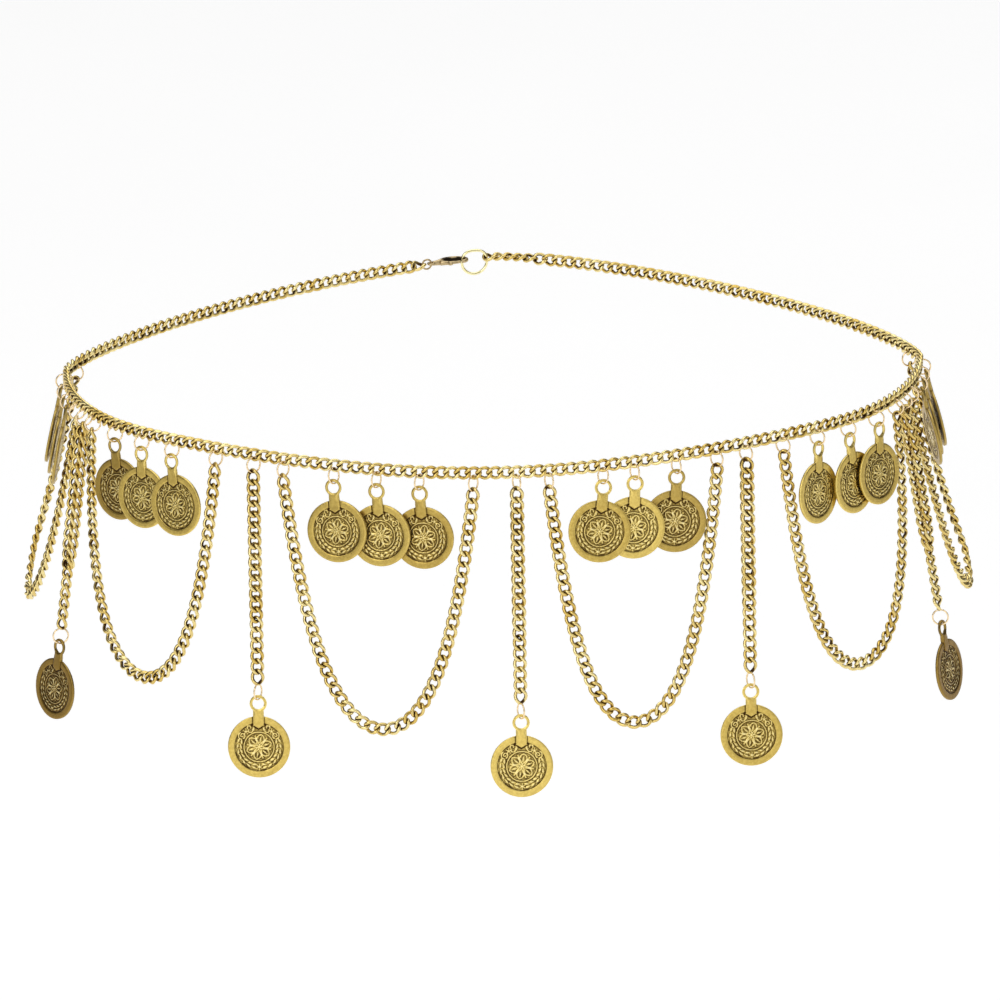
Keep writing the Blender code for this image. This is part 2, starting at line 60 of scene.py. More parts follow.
UP = np.array([0.0, 0.0, 1.0])
CHAIN_BODY = "chain"
RANDOM = np.random.default_rng(23)

# Curb chain
PITCH = 0.00395
LINK_WIRE = 0.0013
LINK_HALF_LENGTH = (PITCH + LINK_WIRE) / 2
LINK_HALF_WIDTH = 0.00195
LINK_TWIST = math.radians(45)
LINK_AROUND = 24
LINK_SIDES = 10
LINK_FROM_RING = 0.00165
LINK_NEIGHBOUR_SAMPLES = 200
EYE_REACH = 0.0019
# Painted shade: a link darkens where it touches its neighbours and on the inner side of its wire
CREVICE_SHADE_REACH = 0.0007
INNER_SIDE_SHADE = 0.75
INNER_SIDE_FLATNESS = 0.2
LINK_GRIME_SPREAD = 0.07

# Belt loop, seen from above
BELT_HALF_WIDTH = 0.160
BELT_FRONT = 0.1205
BELT_BACK = 0.133
FRONT_ROUNDNESS = 2.1
BACK_ROUNDNESS = 1.38
BELT_SAMPLES = 6000
TANGENT_REACH = 0.003
FIRST_LINK_OFFSET = -0.3
BELT_DIP = 0.0015
DIP_REACH = 0.110
DIP_FADE = 0.060

# The figure's slope
SLOPE_FRONT = 0.175
SLOPE_SIDE = 0.220
SLOPE_SIDE_POWER = 8.5
SWAG_SAMPLES = 160
SAG_RANGE = (0.006, 0.06)
SAG_HALVINGS = 30

# Jump rings
RING_RADIUS = 0.0029
RING_WIRE = 0.00065
RING_TOP_DEPTH = 0.00098
STRAND_SWING = math.radians(10)
RING_GAP = 0.00007
RING_GAP_TURN = math.radians(55)
RING_OPEN = math.radians(32)
RING_OPEN_LOSS = 0.2
RING_FACING = math.radians(85)
DROP_RING_OPEN = math.radians(24)
RING_TURN_RANGE = (0.8, 1.1)
RING_AROUND = 37
RING_SIDES = 10
RING_GRIME = (0.12, 0.08)
RING_TONE = 0.6

# Coins: sizes as shares of the disc's radius
COIN_RADIUS = 0.0115
COIN_THICKNESS = 0.0011
RIM_INNER = 0.797
EYE_HEIGHT = 1.409
EYE_OUTER = 0.278
EYE_HOLE = 0.185
TAB_HALF_WIDTH = 0.174
TAB_TIP = 0.600
TAB_SLOPE = 0.6
EYE_CLEARANCE = 0.00033
COIN_PIVOT = (EYE_HEIGHT + EYE_HOLE) * COIN_RADIUS - EYE_CLEARANCE - RING_WIRE / 2
INNER_RING = 0.483
INNER_RING_HALF_WIDTH = 0.022

# The coin's mesh: loops are (radius, points), spacings are shares of the grid's
COIN_GRID = 0.0225
COIN_GRID_HALF_SPAN = 0.80
COIN_GRID_RADIUS = 0.775
COIN_ROW_SPACING = 0.866
RIM_SIDES = 104
EYE_SIDES = 36
HOLE_SIDES = 24
NECK_POINTS = 7
COIN_LOOPS = (
    (0.993, RIM_SIDES),
    (0.981, RIM_SIDES),
    (0.93, 90),
    (0.87, 84),
    (0.815, 120),
    (RIM_INNER, 120),
    (0.780, 120),
    (INNER_RING + 0.028, 84),
    (INNER_RING, 84),
    (INNER_RING - 0.028, 84),
)
EYE_LOOPS = (EYE_HOLE + 0.020, (EYE_HOLE + EYE_OUTER) / 2, EYE_OUTER - 0.020)
TAB_INSETS = (-0.048, -0.022, 0.0, 0.014)
TAB_LOOP_TOP = 1.20
TAB_SIDE_POINTS = 18
TAB_SLANT_POINTS = 7
TAB_TIP_INSET = 1.2
LOOP_SPACING = 0.45
SPINE_STEP = 0.9
SPINE_SPACING = 0.55
GRID_SPACING = 0.70
OUTLINE_CLEARANCE = 0.004
MERGE_DISTANCE = 1e-7

# The coin's relief, in disc radii, and how bright each part of it is plated: dark tarnish in the hollows,
# with painted shade at the feet of the strokes, beside the tab and over whole coins towards the belt's
# sides
FIELD_DEPTH = 0.0200
RELIEF_HEIGHT = 0.0190
TAB_RISE = 0.0130
TAB_GROOVE = 0.0100
GROOVE_PLACE = 0.020
GROOVE_REACH = 0.018
GROOVE_TOP = 0.995
GROOVE_TAB_LIMIT = 0.3
FOOT_REACH = 0.020
EDGE_ROUND = 0.020
EYE_ROUND = 0.050
EYE_ROUND_AT = (1.02, 1.22)
RIM_STEP = (RIM_INNER - 0.014, RIM_INNER + 0.008)
RIM_FOOT = RIM_INNER - 0.012
TAB_STEP = (-0.002, 0.008)
FAR_AWAY = 9.0
OPEN_FIELD = 0.46
SHADE_SHARE = 0.95
PLAIN_RELIEF = 0.86
RAISED_FROM = 0.03
RAISED_RELIEF = (0.35, 0.75)
HIGHEST_RELIEF = 1.1
EDGE_BRIGHTNESS = 1.4
BRUSH_STREAKS = 360
COIN_TONES = (0.45, 0.80)
# Painted shade: whole coins browned, most those towards the belt's sides that turn away from the light
COIN_SHADE_BROWNING = {
    "trio_0": 0.60,
    "trio_1_coin_0": 0.60,
    "trio_1": 0.12,
    "trio_2": 0.32,
    "trio_3_coin_2": 0.50,
    "trio_3": 0.12,
    "trio_4": 0.15,
    "trio_5": 0.60,
    "drop_0": 0.80,
    "drop_4": 0.80,
}

# Strokes of the coin's motifs
SPINDLE_POWER = 0.8
LEAF_TIP = 0.004
LEAF_STEPS = 6
SCROLL_WOUND_IN = 0.82
SCROLL_THINNED = 0.45
SCROLL_STEPS = 22
STAR_ROOT = 0.34
STAR_TIP = 0.006
DOT_LENGTH = 0.002
ARC_STEPS = 14
PETAL_STEPS = 12

# Drops
DOUBLED_LINKS = 14
TAIL_LINKS = 6
STRAND_SPACING = 0.0027
BACK_STRAND_SHIFT = 0.0002
STRANDS_APART_AT = (0.0, 0.5, 2.8, DOUBLED_LINKS - 2.4, DOUBLED_LINKS - 0.4)
STRANDS_APART = (0.3, 0.5, 1.0, 1.0, 0.42)
TAIL_LIFT = 0.1

# Clasp and closing ring
CLOSING_RING_RADIUS = 0.0047
CLOSING_RING_WIRE = 0.0011
CLOSING_RING_DROP = 0.0015
CLOSING_RING_ALONG = -0.4288
CLASP_LENGTH = 0.0166
CLASP_PAST_RING = 0.0018
CLASP_RING_RADIUS = 0.0019
CLASP_RING_WIRE = 0.0007
CLASP_EYE_RADIUS = 0.00125
CLASP_EYE_WIRE = 0.0009
CLASP_EYE_ALONG = 0.0068
CLASP_RING_AROUND = 28
CLASP_MOUTH_MIDDLE = (-0.0026, -0.0001)
CLASP_MOUTH_HALF = (0.0036, 0.0013)
# The clasp darkens towards the mouth of its hook, a painted shade, over an even level of dirt
CLASP_DIRT_AND_SHADE = (0.25, 1.0)
CLASP_SHADE_REACH = 1.9
CLASP_TONE = 0.5
CLOSING_RING_AROUND = 72
CLOSING_RING_SIDES = 14
CLOSING_RING_STRETCH = 1.05
CLOSING_RING_FLATNESS = 0.77
CHAIN_END_LEFT = -0.40825
LEFT_TWIST = {"held": 0.0, "turning": 2.0 * PITCH}
RIGHT_TWIST = {"held": 4.5 * PITCH, "turning": 2.5 * PITCH}
END_FIT_LINKS = 20

# Clasp: each row is along it, out of its middle line and the wire's radius, in millimetres
MM_PER_METRE = 1000
CLAW = {
    "rows": (
        (6.2, 0.0, 0.80),
        (4.6, 0.1, 0.90),
        (2.8, 0.5, 1.15),
        (0.8, 1.5, 1.15),
        (-1.6, 2.15, 1.0),
        (-4.0, 2.05, 0.90),
        (-6.0, 1.45, 0.78),
        (-7.45, 0.15, 0.72),
        (-7.2, -1.15, 0.68),
        (-6.1, -2.00, 0.62),
        (-4.9, -2.25, 0.50),
    ),
    "count": 44,
    "sides": 14,
    "squash": 1.15,
}
LEVER = {
    "rows": (
        (3.0, -0.6, 0.95),
        (1.6, -1.5, 0.80),
        (-0.2, -2.15, 0.62),
        (-2.2, -2.35, 0.55),
        (-4.3, -2.30, 0.50),
    ),
    "count": 22,
    "sides": 12,
    "squash": 1.1,
}
THUMB = {
    "rows": ((0.6, -2.2, 0.5), (0.0, -3.1, 0.48), (-0.5, -3.7, 0.30)),
    "count": 10,
    "sides": 12,
    "squash": 1.6,
}
RIVET = {
    "rows": ((2.6, -0.2, 1.05), (2.9, -0.2, 1.05)),
    "count": 3,
    "sides": 14,
    "squash": 1.25,
}

# Metals: bright, worn and dark colours as they show on screen, 0 to 255, and roughness where not darkened;
# the dark colour goes where shade is painted into crevices and between parts, and where dirt lies
METALS = {
    "chain_metal": ((242, 224, 160), (212, 181, 96), (68, 42, 8), 0.24),
    "ring_metal": ((250, 228, 188), (234, 206, 158), (120, 84, 48), 0.20),
    "clasp_metal": ((202, 182, 140), (176, 154, 114), (34, 25, 12), 0.30),
    "closing_metal": ((252, 244, 194), (240, 228, 166), (120, 96, 44), 0.18),
}
DARKENED_ROUGHNESS = 0.5
COIN_WORN = (166, 136, 58)
COIN_BRIGHT = (240, 214, 122)
COIN_EDGE = (246, 222, 134)
COIN_BROWN = (118, 84, 26)
COIN_CREST = (255, 240, 178)
COIN_DARK = (60, 38, 6)
BRUSH_ROUGHNESS = 0.14

SWAGS = (
    {"start": -59, "end": -47, "links": 44},
    {"start": -43, "end": -26, "links": 50},
    {"start": -19, "end": -1, "links": 52},
    {"start": 6, "end": 22, "links": 51},
    {"start": 29, "end": 45, "links": 50},
    {"start": 49, "end": 60, "links": 45},
)
TRIOS = (
    {"links": (-56, -53, -50), "turn": (-1, -9, -16), "swing": (24, 16, 20), "lean": (0, 0, 0)},
    {"links": (-39, -35, -31), "turn": (14, 8, 2), "swing": (6, 6, 14), "lean": (10, 3, 7)},
    {"links": (-14, -10, -6), "turn": (-4, -6, -8), "swing": (26, 14, 10), "lean": (4, 4, 4)},
    {"links": (11, 14, 18), "turn": (-3, -8, -13), "swing": (26, 14, 10), "lean": (-6, -3, -3)},
    {"links": (33, 37, 41), "turn": (13, 4, -4), "swing": (10, 10, 26), "lean": (-4, 5, -9)},
    {"links": (52, 55, 57), "turn": (21, 11, 2), "swing": (24, 16, 28), "lean": (0, 0, 0)},
)
DROPS = (-45, -22, 3, 25, 47)
DROP_TURNS = (15, 22, 0, -22, -2)
BELT_CUTS = (-82.5, -61.5, -44, -28.5, -8, 8.5, 27, 43, 62.5, 87.5)
BELT_NAMES = (
    "belt_back_left",
    "belt_left_back",
    "belt_left_side",
    "belt_left_front",
    "belt_front_left",
    "belt_front_centre",
    "belt_front_right",
    "belt_right_front",
    "belt_right_side",
    "belt_right_back",
    "belt_back_right",
)

# The view of the photograph
CAMERA_TARGET = (0.00656, -0.20738, 0.01788)
CAMERA_AZIMUTH = 0.02403
CAMERA_ELEVATION = 0.33200
CAMERA_ROLL = 0.02299
CAMERA_DISTANCE = 4.0496
CAMERA_LENS = 407.98
CAMERA_SENSOR = 36.0
CAMERA_REACH = 100.0

# Studio: the world is darker to both sides, the floor a little brighter far away
FLOOR_DEPTH = 0.30
FLOOR_HALF_SIZE = 30.0
FLOOR_GRAIN = 3.0
FLOOR_DARK = (246, 246, 246)
FLOOR_BRIGHT = (250, 250, 250)
FLOOR_ROUGHNESS = 0.9
FLOOR_GLOW_AT = (0.8, 2.6)
FLOOR_GLOW = (0.26, 0.36)
WORLD_SIDES_AT = (0.35, 0.95)
WORLD_STRENGTH = (0.38, 0.07)
WHITE = (1.0, 1.0, 1.0, 1.0)
LIGHTS = (
    {"name": "key", "place": (-1.5, -1.9, 1.9), "size": (2.2, 2.2), "power": 30.0},
    {"name": "fill", "place": (2.1, -1.4, 0.9), "size": (1.4, 2.2), "power": 11.0},
    {"name": "top", "place": (0.2, 0.9, 2.4), "size": (3.0, 3.0), "power": 38.0},
    {"name": "front", "place": (-0.3, -2.6, 0.35), "size": (2.6, 1.1), "power": 9.0},
)


def belt_curve():
    turn = np.linspace(-math.pi / 2, 1.5 * math.pi, BELT_SAMPLES)
    cosine, sine = np.cos(turn), np.sin(turn)
    roundness = np.where(sine < 0, FRONT_ROUNDNESS, BACK_ROUNDNESS)
    depth = np.where(sine < 0, BELT_FRONT, BELT_BACK)
    x = BELT_HALF_WIDTH * np.sign(cosine) * np.abs(cosine) ** (2 / roundness)
    y = depth * np.sign(sine) * np.abs(sine) ** (2 / roundness)
    steps = np.hypot(np.diff(x), np.diff(y))
    return np.concatenate([[0], np.cumsum(steps)]), x, y


BELT = belt_curve()
BELT_LENGTH = BELT[0][-1]
CLOSING_RING_FAR = CLOSING_RING_ALONG - CLOSING_RING_RADIUS + BELT_LENGTH
CHAIN_END_RIGHT = CLOSING_RING_FAR + EYE_REACH


def belt_rise(along):
    """The belt dips at the front centre, stands a little proud beside it and is level further back."""
    away = min(along % BELT_LENGTH, -along % BELT_LENGTH)
    if away < DIP_REACH:
        return -BELT_DIP * math.cos(math.pi * away / DIP_REACH)
    fade = min(1.0, (away - DIP_REACH) / DIP_FADE)
    return BELT_DIP * (1 + math.cos(math.pi * fade)) / 2


def belt_point(along):
    wrapped = along % BELT_LENGTH
    x, y = (np.interp(wrapped, BELT[0], values) for values in BELT[1:])
    return np.array([x, y, belt_rise(along)])


def belt_frame(along):
    """Point, level direction along the belt towards +X at the front, and the direction outwards."""
    ahead = (belt_point(along + TANGENT_REACH) - belt_point(along - TANGENT_REACH)) * (1, 1, 0)
    tangent = ahead / np.linalg.norm(ahead)
    return belt_point(along), tangent, np.array([tangent[1], -tangent[0], 0.0])


def link_along(link):
    return (link + FIRST_LINK_OFFSET) * PITCH


def hang_direction(along):
    point, _, outward = belt_frame(along)
    share = abs(point[0] / BELT_HALF_WIDTH) ** SLOPE_SIDE_POWER
    return np.array([SLOPE_SIDE * math.copysign(share, point[0]), SLOPE_FRONT * outward[1], -1.0])


def ring_points(along, swing):
    """Centre and lowest point of a jump ring that hangs on the belt and swings out by an angle."""
    point, _, outward = belt_frame(along)
    down = outward * math.sin(swing) - UP * math.cos(swing)
    top = point - UP * RING_TOP_DEPTH
    return top + down * RING_RADIUS, top + down * 2 * RING_RADIUS


STRAND_DEPTH = RING_TOP_DEPTH + 2 * RING_RADIUS * math.cos(STRAND_SWING)


def hang_point(along, depth):
    _, lowest = ring_points(along, STRAND_SWING)
    return lowest + hang_direction(along) * (depth - STRAND_DEPTH)


def hang_axes(along, turn=0.0):
    """Across, outwards and up of what lies on the figure, turned about the vertical from the normal."""
    _, tangent, outward = belt_frame(along)
    direction = hang_direction(along)
    up = -direction / np.linalg.norm(direction)
    facing = outward * math.cos(turn) + tangent * math.sin(turn)
    through = facing - up * (facing @ up)
    through /= np.linalg.norm(through)
    return np.cross(up, through), through, up


def swag_line(swag, sag):
    start, end = link_along(swag["start"]), link_along(swag["end"])
    half = (end - start) / 2
    offset = np.linspace(-1, 1, SWAG_SAMPLES) * half
    depth = STRAND_DEPTH + sag * (math.cosh(half / sag) - np.cosh(offset / sag))
    return start + half + offset, depth


def line_points(alongs, depths):
    return np.array([hang_point(along, depth) for along, depth in zip(alongs, depths)])


def swag_curve(swag):
    """The catenary whose length is that of its links, found by halving the range of the sag."""
    low, high = SAG_RANGE
    for _ in range(SAG_HALVINGS):
        sag = (low + high) / 2
        alongs, depths = swag_line(swag, sag)
        length = np.linalg.norm(np.diff(line_points(alongs, depths), axis=0), axis=1).sum()
        if length > swag["links"] * PITCH:
            low = sag
        else:
            high = sag
    return alongs, depths


def drop_ring(along):
    up = hang_axes(along)[2]
    top = hang_point(along, STRAND_DEPTH) - up * (DOUBLED_LINKS + TAIL_LINKS) * PITCH
    return top - up * RING_RADIUS, top - up * 2 * RING_RADIUS


def end_twist(along):
    """The chain turns on its side towards the clasp and the closing ring."""
    shares = []
    for from_end, twist in ((along - CHAIN_END_LEFT, LEFT_TWIST), (CHAIN_END_RIGHT - along, RIGHT_TWIST)):
        turned = (from_end - twist["held"]) / twist["turning"]
        shares.append(1 - min(1.0, max(0.0, turned)))
    share = max(shares)
    return math.pi / 2 * share * share * (3 - 2 * share)


def unit(vectors):
    return vectors / np.linalg.norm(vectors, axis=-1, keepdims=True)


def sweep(path, radii, reference, closed, sides, squash=1.0):
    """A tube along a path, its section squashed towards the reference direction: points, faces, normals."""
    path = np.asarray(path, float)
    count = len(path)
    radii = np.broadcast_to(np.asarray(radii, float), (count,))
    if closed:
        ahead = unit(np.roll(path, -1, axis=0) - np.roll(path, 1, axis=0))
    else:
        ahead = unit(np.gradient(path, axis=0))
    side = unit(np.cross(np.broadcast_to(reference, path.shape), ahead))
    lift = np.cross(ahead, side)
    turns = 2 * math.pi * np.arange(sides) / sides
    spread = (
        side[:, None, :] * np.cos(turns)[None, :, None]
        + lift[:, None, :] * np.sin(turns)[None, :, None] * squash
    )
    points = path[:, None, :] + spread * radii[:, None, None]
    faces = []
    for i in range(count if closed else count - 1):
        j = (i + 1) % count
        for k in range(sides):
            n = (k + 1) % sides
            faces.append((i * sides + k, i * sides + n, j * sides + n, j * sides + k))
    if not closed:
        faces.append(tuple(range(sides))[::-1])
        faces.append(tuple((count - 1) * sides + k for k in range(sides)))
    return points.reshape(-1, 3), faces, unit(spread).reshape(-1, 3)


def join(parts):
    """Several (points, faces, dirt and shade values) as one."""
    faces, start = [], 0
    for part_points, part_faces, _ in parts:
        faces += [tuple(start + i for i in face) for face in part_faces]
        start += len(part_points)
    return np.concatenate([part[0] for part in parts]), faces, np.concatenate([part[2] for part in parts])


def make_mesh(name, points, faces, attributes):
    mesh = bpy.data.meshes.new(name)
    mesh.from_pydata(np.asarray(points).tolist(), [], faces)
    mesh.update()
    mesh.shade_smooth()
    for key, values in attributes.items():
        layer = mesh.attributes.new(key, "FLOAT", "POINT")
        layer.data.foreach_set("value", np.asarray(values, np.float32))
    return mesh


def place(name, mesh, material, matrix=None, body=CHAIN_BODY, nodes=()):
    thing = bpy.data.objects.new(name, mesh)
    bpy.context.scene.collection.objects.link(thing)
    if not mesh.materials:
        mesh.materials.append(material)
    if matrix is not None:
        thing.matrix_world = matrix
    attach(thing, body)
    if nodes:
        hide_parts(*nodes)


def axes_matrix(x, y, z, origin):
    matrix = np.eye(4)
    matrix[:3, 0], matrix[:3, 1], matrix[:3, 2], matrix[:3, 3] = x, y, z, origin
    return Matrix(matrix.tolist())


class Nodes:
    """The node tree of a material or a world, with a short way to add and link nodes."""

    def __init__(self, owner, shader):
        owner.use_nodes = True
        self.tree = owner.node_tree
        self.shader = self.tree.nodes[shader]

    def link(self, source, target):
        self.tree.links.new(source, target)

    def add(self, kind, inputs=None, **settings):
        node = self.tree.nodes.new(kind)
        for key, value in settings.items():
            setattr(node, key, value)
        for key, value in (inputs or {}).items():
            if isinstance(value, bpy.types.NodeSocket):
                self.link(value, node.inputs[key])
            else:
                node.inputs[key].default_value = value
        return node

    def attribute(self, name):
        return self.add("ShaderNodeAttribute", attribute_name=name).outputs["Fac"]

    def place_on(self, kind):
        return self.add("ShaderNodeTexCoord").outputs[kind]

    def noise(self, scale, detail=3.0):
        inputs = {"Scale": scale, "Detail": detail, "Vector": self.place_on("Object")}
        return self.add("ShaderNodeTexNoise", inputs).outputs["Fac"]

    def math(self, operation, a, b=0.0, clamp=False):
        node = self.add("ShaderNodeMath", {0: a, 1: b}, operation=operation, use_clamp=clamp)
        return node.outputs[0]

    def scaled(self, value, low, high, to_low=0.0, to_high=1.0):
        """A value eased from one range into another."""
        inputs = {"Value": value, "From Min": low, "From Max": high, "To Min": to_low, "To Max": to_high}
        return self.add("ShaderNodeMapRange", inputs, interpolation_type="SMOOTHSTEP").outputs[0]

    def mixed(self, factor, a, b):
        """A colour between a and b; the colour sockets of a mix node come after those of other kinds."""
        return self.add("ShaderNodeMix", {0: factor, 6: a, 7: b}, data_type="RGBA").outputs[2]

    def drive(self, **sources):
        """Link values to the shader's sockets, whose names have spaces for underscores."""
        for key, source in sources.items():
            self.link(source, self.shader.inputs[key.replace("_", " ")])

    def skin(self, scale, strength, distance):
        """A faint unevenness of the surface."""
        inputs = {"Strength": strength, "Distance": distance, "Height": self.noise(scale)}
        return self.add("ShaderNodeBump", inputs).outputs[0]


def colour(red, green, blue):
    """A colour given as it shows on screen, 0 to 255."""
    shares = np.array([red, green, blue]) / 255
    linear = np.where(shares <= 0.04045, shares / 12.92, ((shares + 0.055) / 1.055) ** 2.4)
    return (*(float(v) for v in linear), 1.0)


def plated_metal(name, bright, worn, dark, smooth):
    """Plated metal with painted shade in its crevices and between parts, dirt in random blotches, an uneven
    tone from link to link and a hammered skin.
    """
    material = bpy.data.materials.new(name)
    m = Nodes(material, "Principled BSDF")
    blotch = m.noise(420.0, 4.0)
    # painted shade from the mesh and random blotches of dirt darken the metal
    darkening = m.math("ADD", m.attribute("dirt_and_shade"), m.scaled(blotch, 0.35, 0.75, -0.18, 0.22))
    depth = m.scaled(darkening, 0.22, 0.72)
    plated = m.mixed(m.attribute("tone"), colour(*worn), colour(*bright))
    m.drive(
        Base_Color=m.mixed(depth, plated, colour(*dark)),
        Roughness=m.scaled(depth, 0.0, 1.0, smooth, DARKENED_ROUGHNESS),
        Metallic=m.scaled(depth, 0.2, 1.0, 1.0, 0.85),
        Normal=m.skin(2600.0, 0.18, 0.00006),
    )
    return material


def coin_metal(name):
    """Stamped coin: plated relief that stands bright over dark tarnish in its hollows, deepened by painted
    shade at the feet of the strokes and beside the tab, with a brushed rim.
    """
    material = bpy.data.materials.new(name)
    m = Nodes(material, "Principled BSDF")
    relief = m.attribute("relief")
    blotch = m.scaled(m.noise(260.0, 5.0), 0.3, 0.75, 0.10, -0.14)
    raised = m.scaled(m.math("ADD", relief, blotch), 0.05, 0.80)
    wear = m.scaled(m.noise(1100.0, 4.0), 0.3, 0.7, -0.13, 0.13)
    uneven = m.math("ADD", m.attribute("tone"), wear, clamp=True)
    plated = m.mixed(uneven, colour(*COIN_WORN), colour(*COIN_BRIGHT))
    edged = m.mixed(m.attribute("edge"), plated, colour(*COIN_EDGE))
    # painted shade: whole coins browned
    browned = m.mixed(m.attribute("shade_browning"), edged, colour(*COIN_BROWN))
    polished = m.mixed(m.scaled(relief, 0.90, 1.08, 0.0, 0.65), browned, colour(*COIN_CREST))
    brushed = m.math("MULTIPLY", m.attribute("brush"), BRUSH_ROUGHNESS)
    m.drive(
        Base_Color=m.mixed(raised, colour(*COIN_DARK), polished),
        Roughness=m.math("ADD", m.scaled(raised, 0.0, 1.0, 0.55, 0.30), brushed),
        Metallic=m.scaled(raised, 0.0, 0.8, 0.88, 1.0),
        Normal=m.skin(3200.0, 0.25, 0.00008),
    )
    return material


CHAIN_METAL, RING_METAL, CLASP_METAL, CLOSING_METAL = (
    plated_metal(name, *settings) for name, settings in METALS.items()
)
COIN_METAL = coin_metal("coin_metal")


def link_centreline(turn):
    """A curb link: a flat oval whose ends are turned against each other."""
    twist = LINK_TWIST * np.cos(turn)
    return np.stack([
        LINK_HALF_LENGTH * np.cos(turn),
        LINK_HALF_WIDTH * np.sin(turn) * np.cos(twist),
        -LINK_HALF_WIDTH * np.sin(turn) * np.sin(twist),
    ], axis=1)


def link_template():
    """One link along X, its width in Y and facing Z, and how much painted shade each point takes beside its
    neighbours and on the inner side of its wire.
    """
    path = link_centreline(2 * math.pi * np.arange(LINK_AROUND) / LINK_AROUND)
    points, faces, normals = sweep(path, LINK_WIRE / 2, UP, True, LINK_SIDES)
    dense = link_centreline(np.linspace(0, 2 * math.pi, LINK_NEIGHBOUR_SAMPLES))
    nearest = np.full(len(points), np.inf)
    for shift in (-PITCH, PITCH):
        neighbour = dense + np.array([shift, 0, 0])
        gaps = np.linalg.norm(points[:, None] - neighbour[None], axis=2).min(axis=1)
        nearest = np.minimum(nearest, gaps - LINK_WIRE / 2)
    touching = np.clip(1 - nearest / CREVICE_SHADE_REACH, 0, 1)
    inwards = np.clip(-(normals * unit(points * (1, 1, INNER_SIDE_FLATNESS))).sum(axis=1), 0, 1)
    return points, faces, np.maximum(touching, INNER_SIDE_SHADE * inwards)


LINK = link_template()


def add_chain(name, places, nodes):
    """Real interlinked links at (point, forward, wide, out) places."""
    template, template_faces, template_shade = LINK
    points, faces, dirt_and_shade, tone = [], [], [], []
    for number, (point, forward, wide, out) in enumerate(places):
        points.append(point + template @ np.array([forward, wide, out]))
        start = number * len(template)
        faces += [tuple(start + i for i in face) for face in template_faces]
        # painted shade where links touch and on their inner sides, raised or lowered by a random level of
        # dirt per link
        dirt_and_shade.append(np.clip(template_shade + RANDOM.normal(0, LINK_GRIME_SPREAD), 0, 1))
        tone.append(np.full(len(template), RANDOM.uniform(0, 1)))
    attributes = {"dirt_and_shade": np.concatenate(dirt_and_shade), "tone": np.concatenate(tone)}
    mesh = make_mesh(name, np.concatenate(points), faces, attributes)
    place(name, mesh, CHAIN_METAL, nodes=nodes)


def belt_links():
    """Each link's number and place along the belt; those near each end are eased to meet their rings."""
    first_place = CHAIN_END_LEFT + CLASP_RING_WIRE + LINK_FROM_RING
    last_place = CLOSING_RING_FAR - LINK_FROM_RING
    first = round(first_place / PITCH - FIRST_LINK_OFFSET)
    last = round(last_place / PITCH - FIRST_LINK_OFFSET)
    links = []
    for link in range(first, last + 1):
        along = link_along(link)
        at_first = max(0, 1 - (link - first) / END_FIT_LINKS) * (first_place - link_along(first))
        at_last = max(0, 1 - (last - link) / END_FIT_LINKS) * (last_place - link_along(last))
        along += at_first + at_last
        links.append((link, along))
    return links


def build_belt():
    stretches = {name: [] for name in BELT_NAMES}
    for link, along in belt_links():
        name = BELT_NAMES[sum(link > cut for cut in BELT_CUTS)]
        point, _, outward = belt_frame(along)
        forward = unit(belt_point(along + TANGENT_REACH) - belt_point(along - TANGENT_REACH))
        upright = np.cross(outward, forward)
        twist = end_twist(along)
        wide = upright * math.cos(twist) + outward * math.sin(twist)
        out = outward * math.cos(twist) - upright * math.sin(twist)
        stretches[name].append((point, forward, wide, out))
    for name, places in stretches.items():
        add_chain(f"{name}_links", places, [name])


def frames_on_curve(points, forwards, normals):
    places = []
    for point, forward, outward in zip(points, forwards, normals):
        wide = unit(np.cross(outward, forward))
        places.append((point, forward, wide, np.cross(forward, wide)))
    return places


def build_swag(number, swag):
    alongs, depths = swag_curve(swag)
    dense = line_points(alongs, depths)
    lengths = np.concatenate([[0], np.cumsum(np.linalg.norm(np.diff(dense, axis=0), axis=1))])
    headings = unit(np.gradient(dense, axis=0))
    wanted = np.linspace(LINK_FROM_RING, lengths[-1] - LINK_FROM_RING, swag["links"])
    points = np.stack([np.interp(wanted, lengths, dense[:, i]) for i in range(3)], axis=1)
    forwards = unit(np.stack([np.interp(wanted, lengths, headings[:, i]) for i in range(3)], axis=1))
    normals = [hang_axes(np.interp(at, lengths, alongs))[1] for at in wanted]
    nodes = [f"swag_{number}_{part}" for part in ("left_leg", "bow", "right_leg")]
    add_chain(f"swag_{number}_links", frames_on_curve(points, forwards, normals), nodes)


def build_drop(number, link, turn):
    """Two strands, one behind the other, from one ring, joined by a tail of single links."""
    along = link_along(link)
    across, outward, up = hang_axes(along, turn)
    top = hang_point(along, STRAND_DEPTH)
    places = []
    for side in (-1, 1):
        depths = LINK_FROM_RING / PITCH + np.arange(DOUBLED_LINKS)
        out = side * STRAND_SPACING / 2 * np.interp(depths, STRANDS_APART_AT, STRANDS_APART)
        points = top - np.outer(depths * PITCH, up) + np.outer(out, outward)
        points += np.outer(out / STRAND_SPACING, across) * BACK_STRAND_SHIFT
        places += frames_on_curve(points, unit(np.gradient(points, axis=0)), [outward] * DOUBLED_LINKS)
    depths = LINK_FROM_RING / PITCH + DOUBLED_LINKS + np.arange(TAIL_LINKS) - TAIL_LIFT
    points = top - np.outer(depths * PITCH, up)
    places += frames_on_curve(points, [-up] * TAIL_LINKS, [outward] * TAIL_LINKS)
    add_chain(f"drop_{number}_links", places, [f"drop_{number}"])


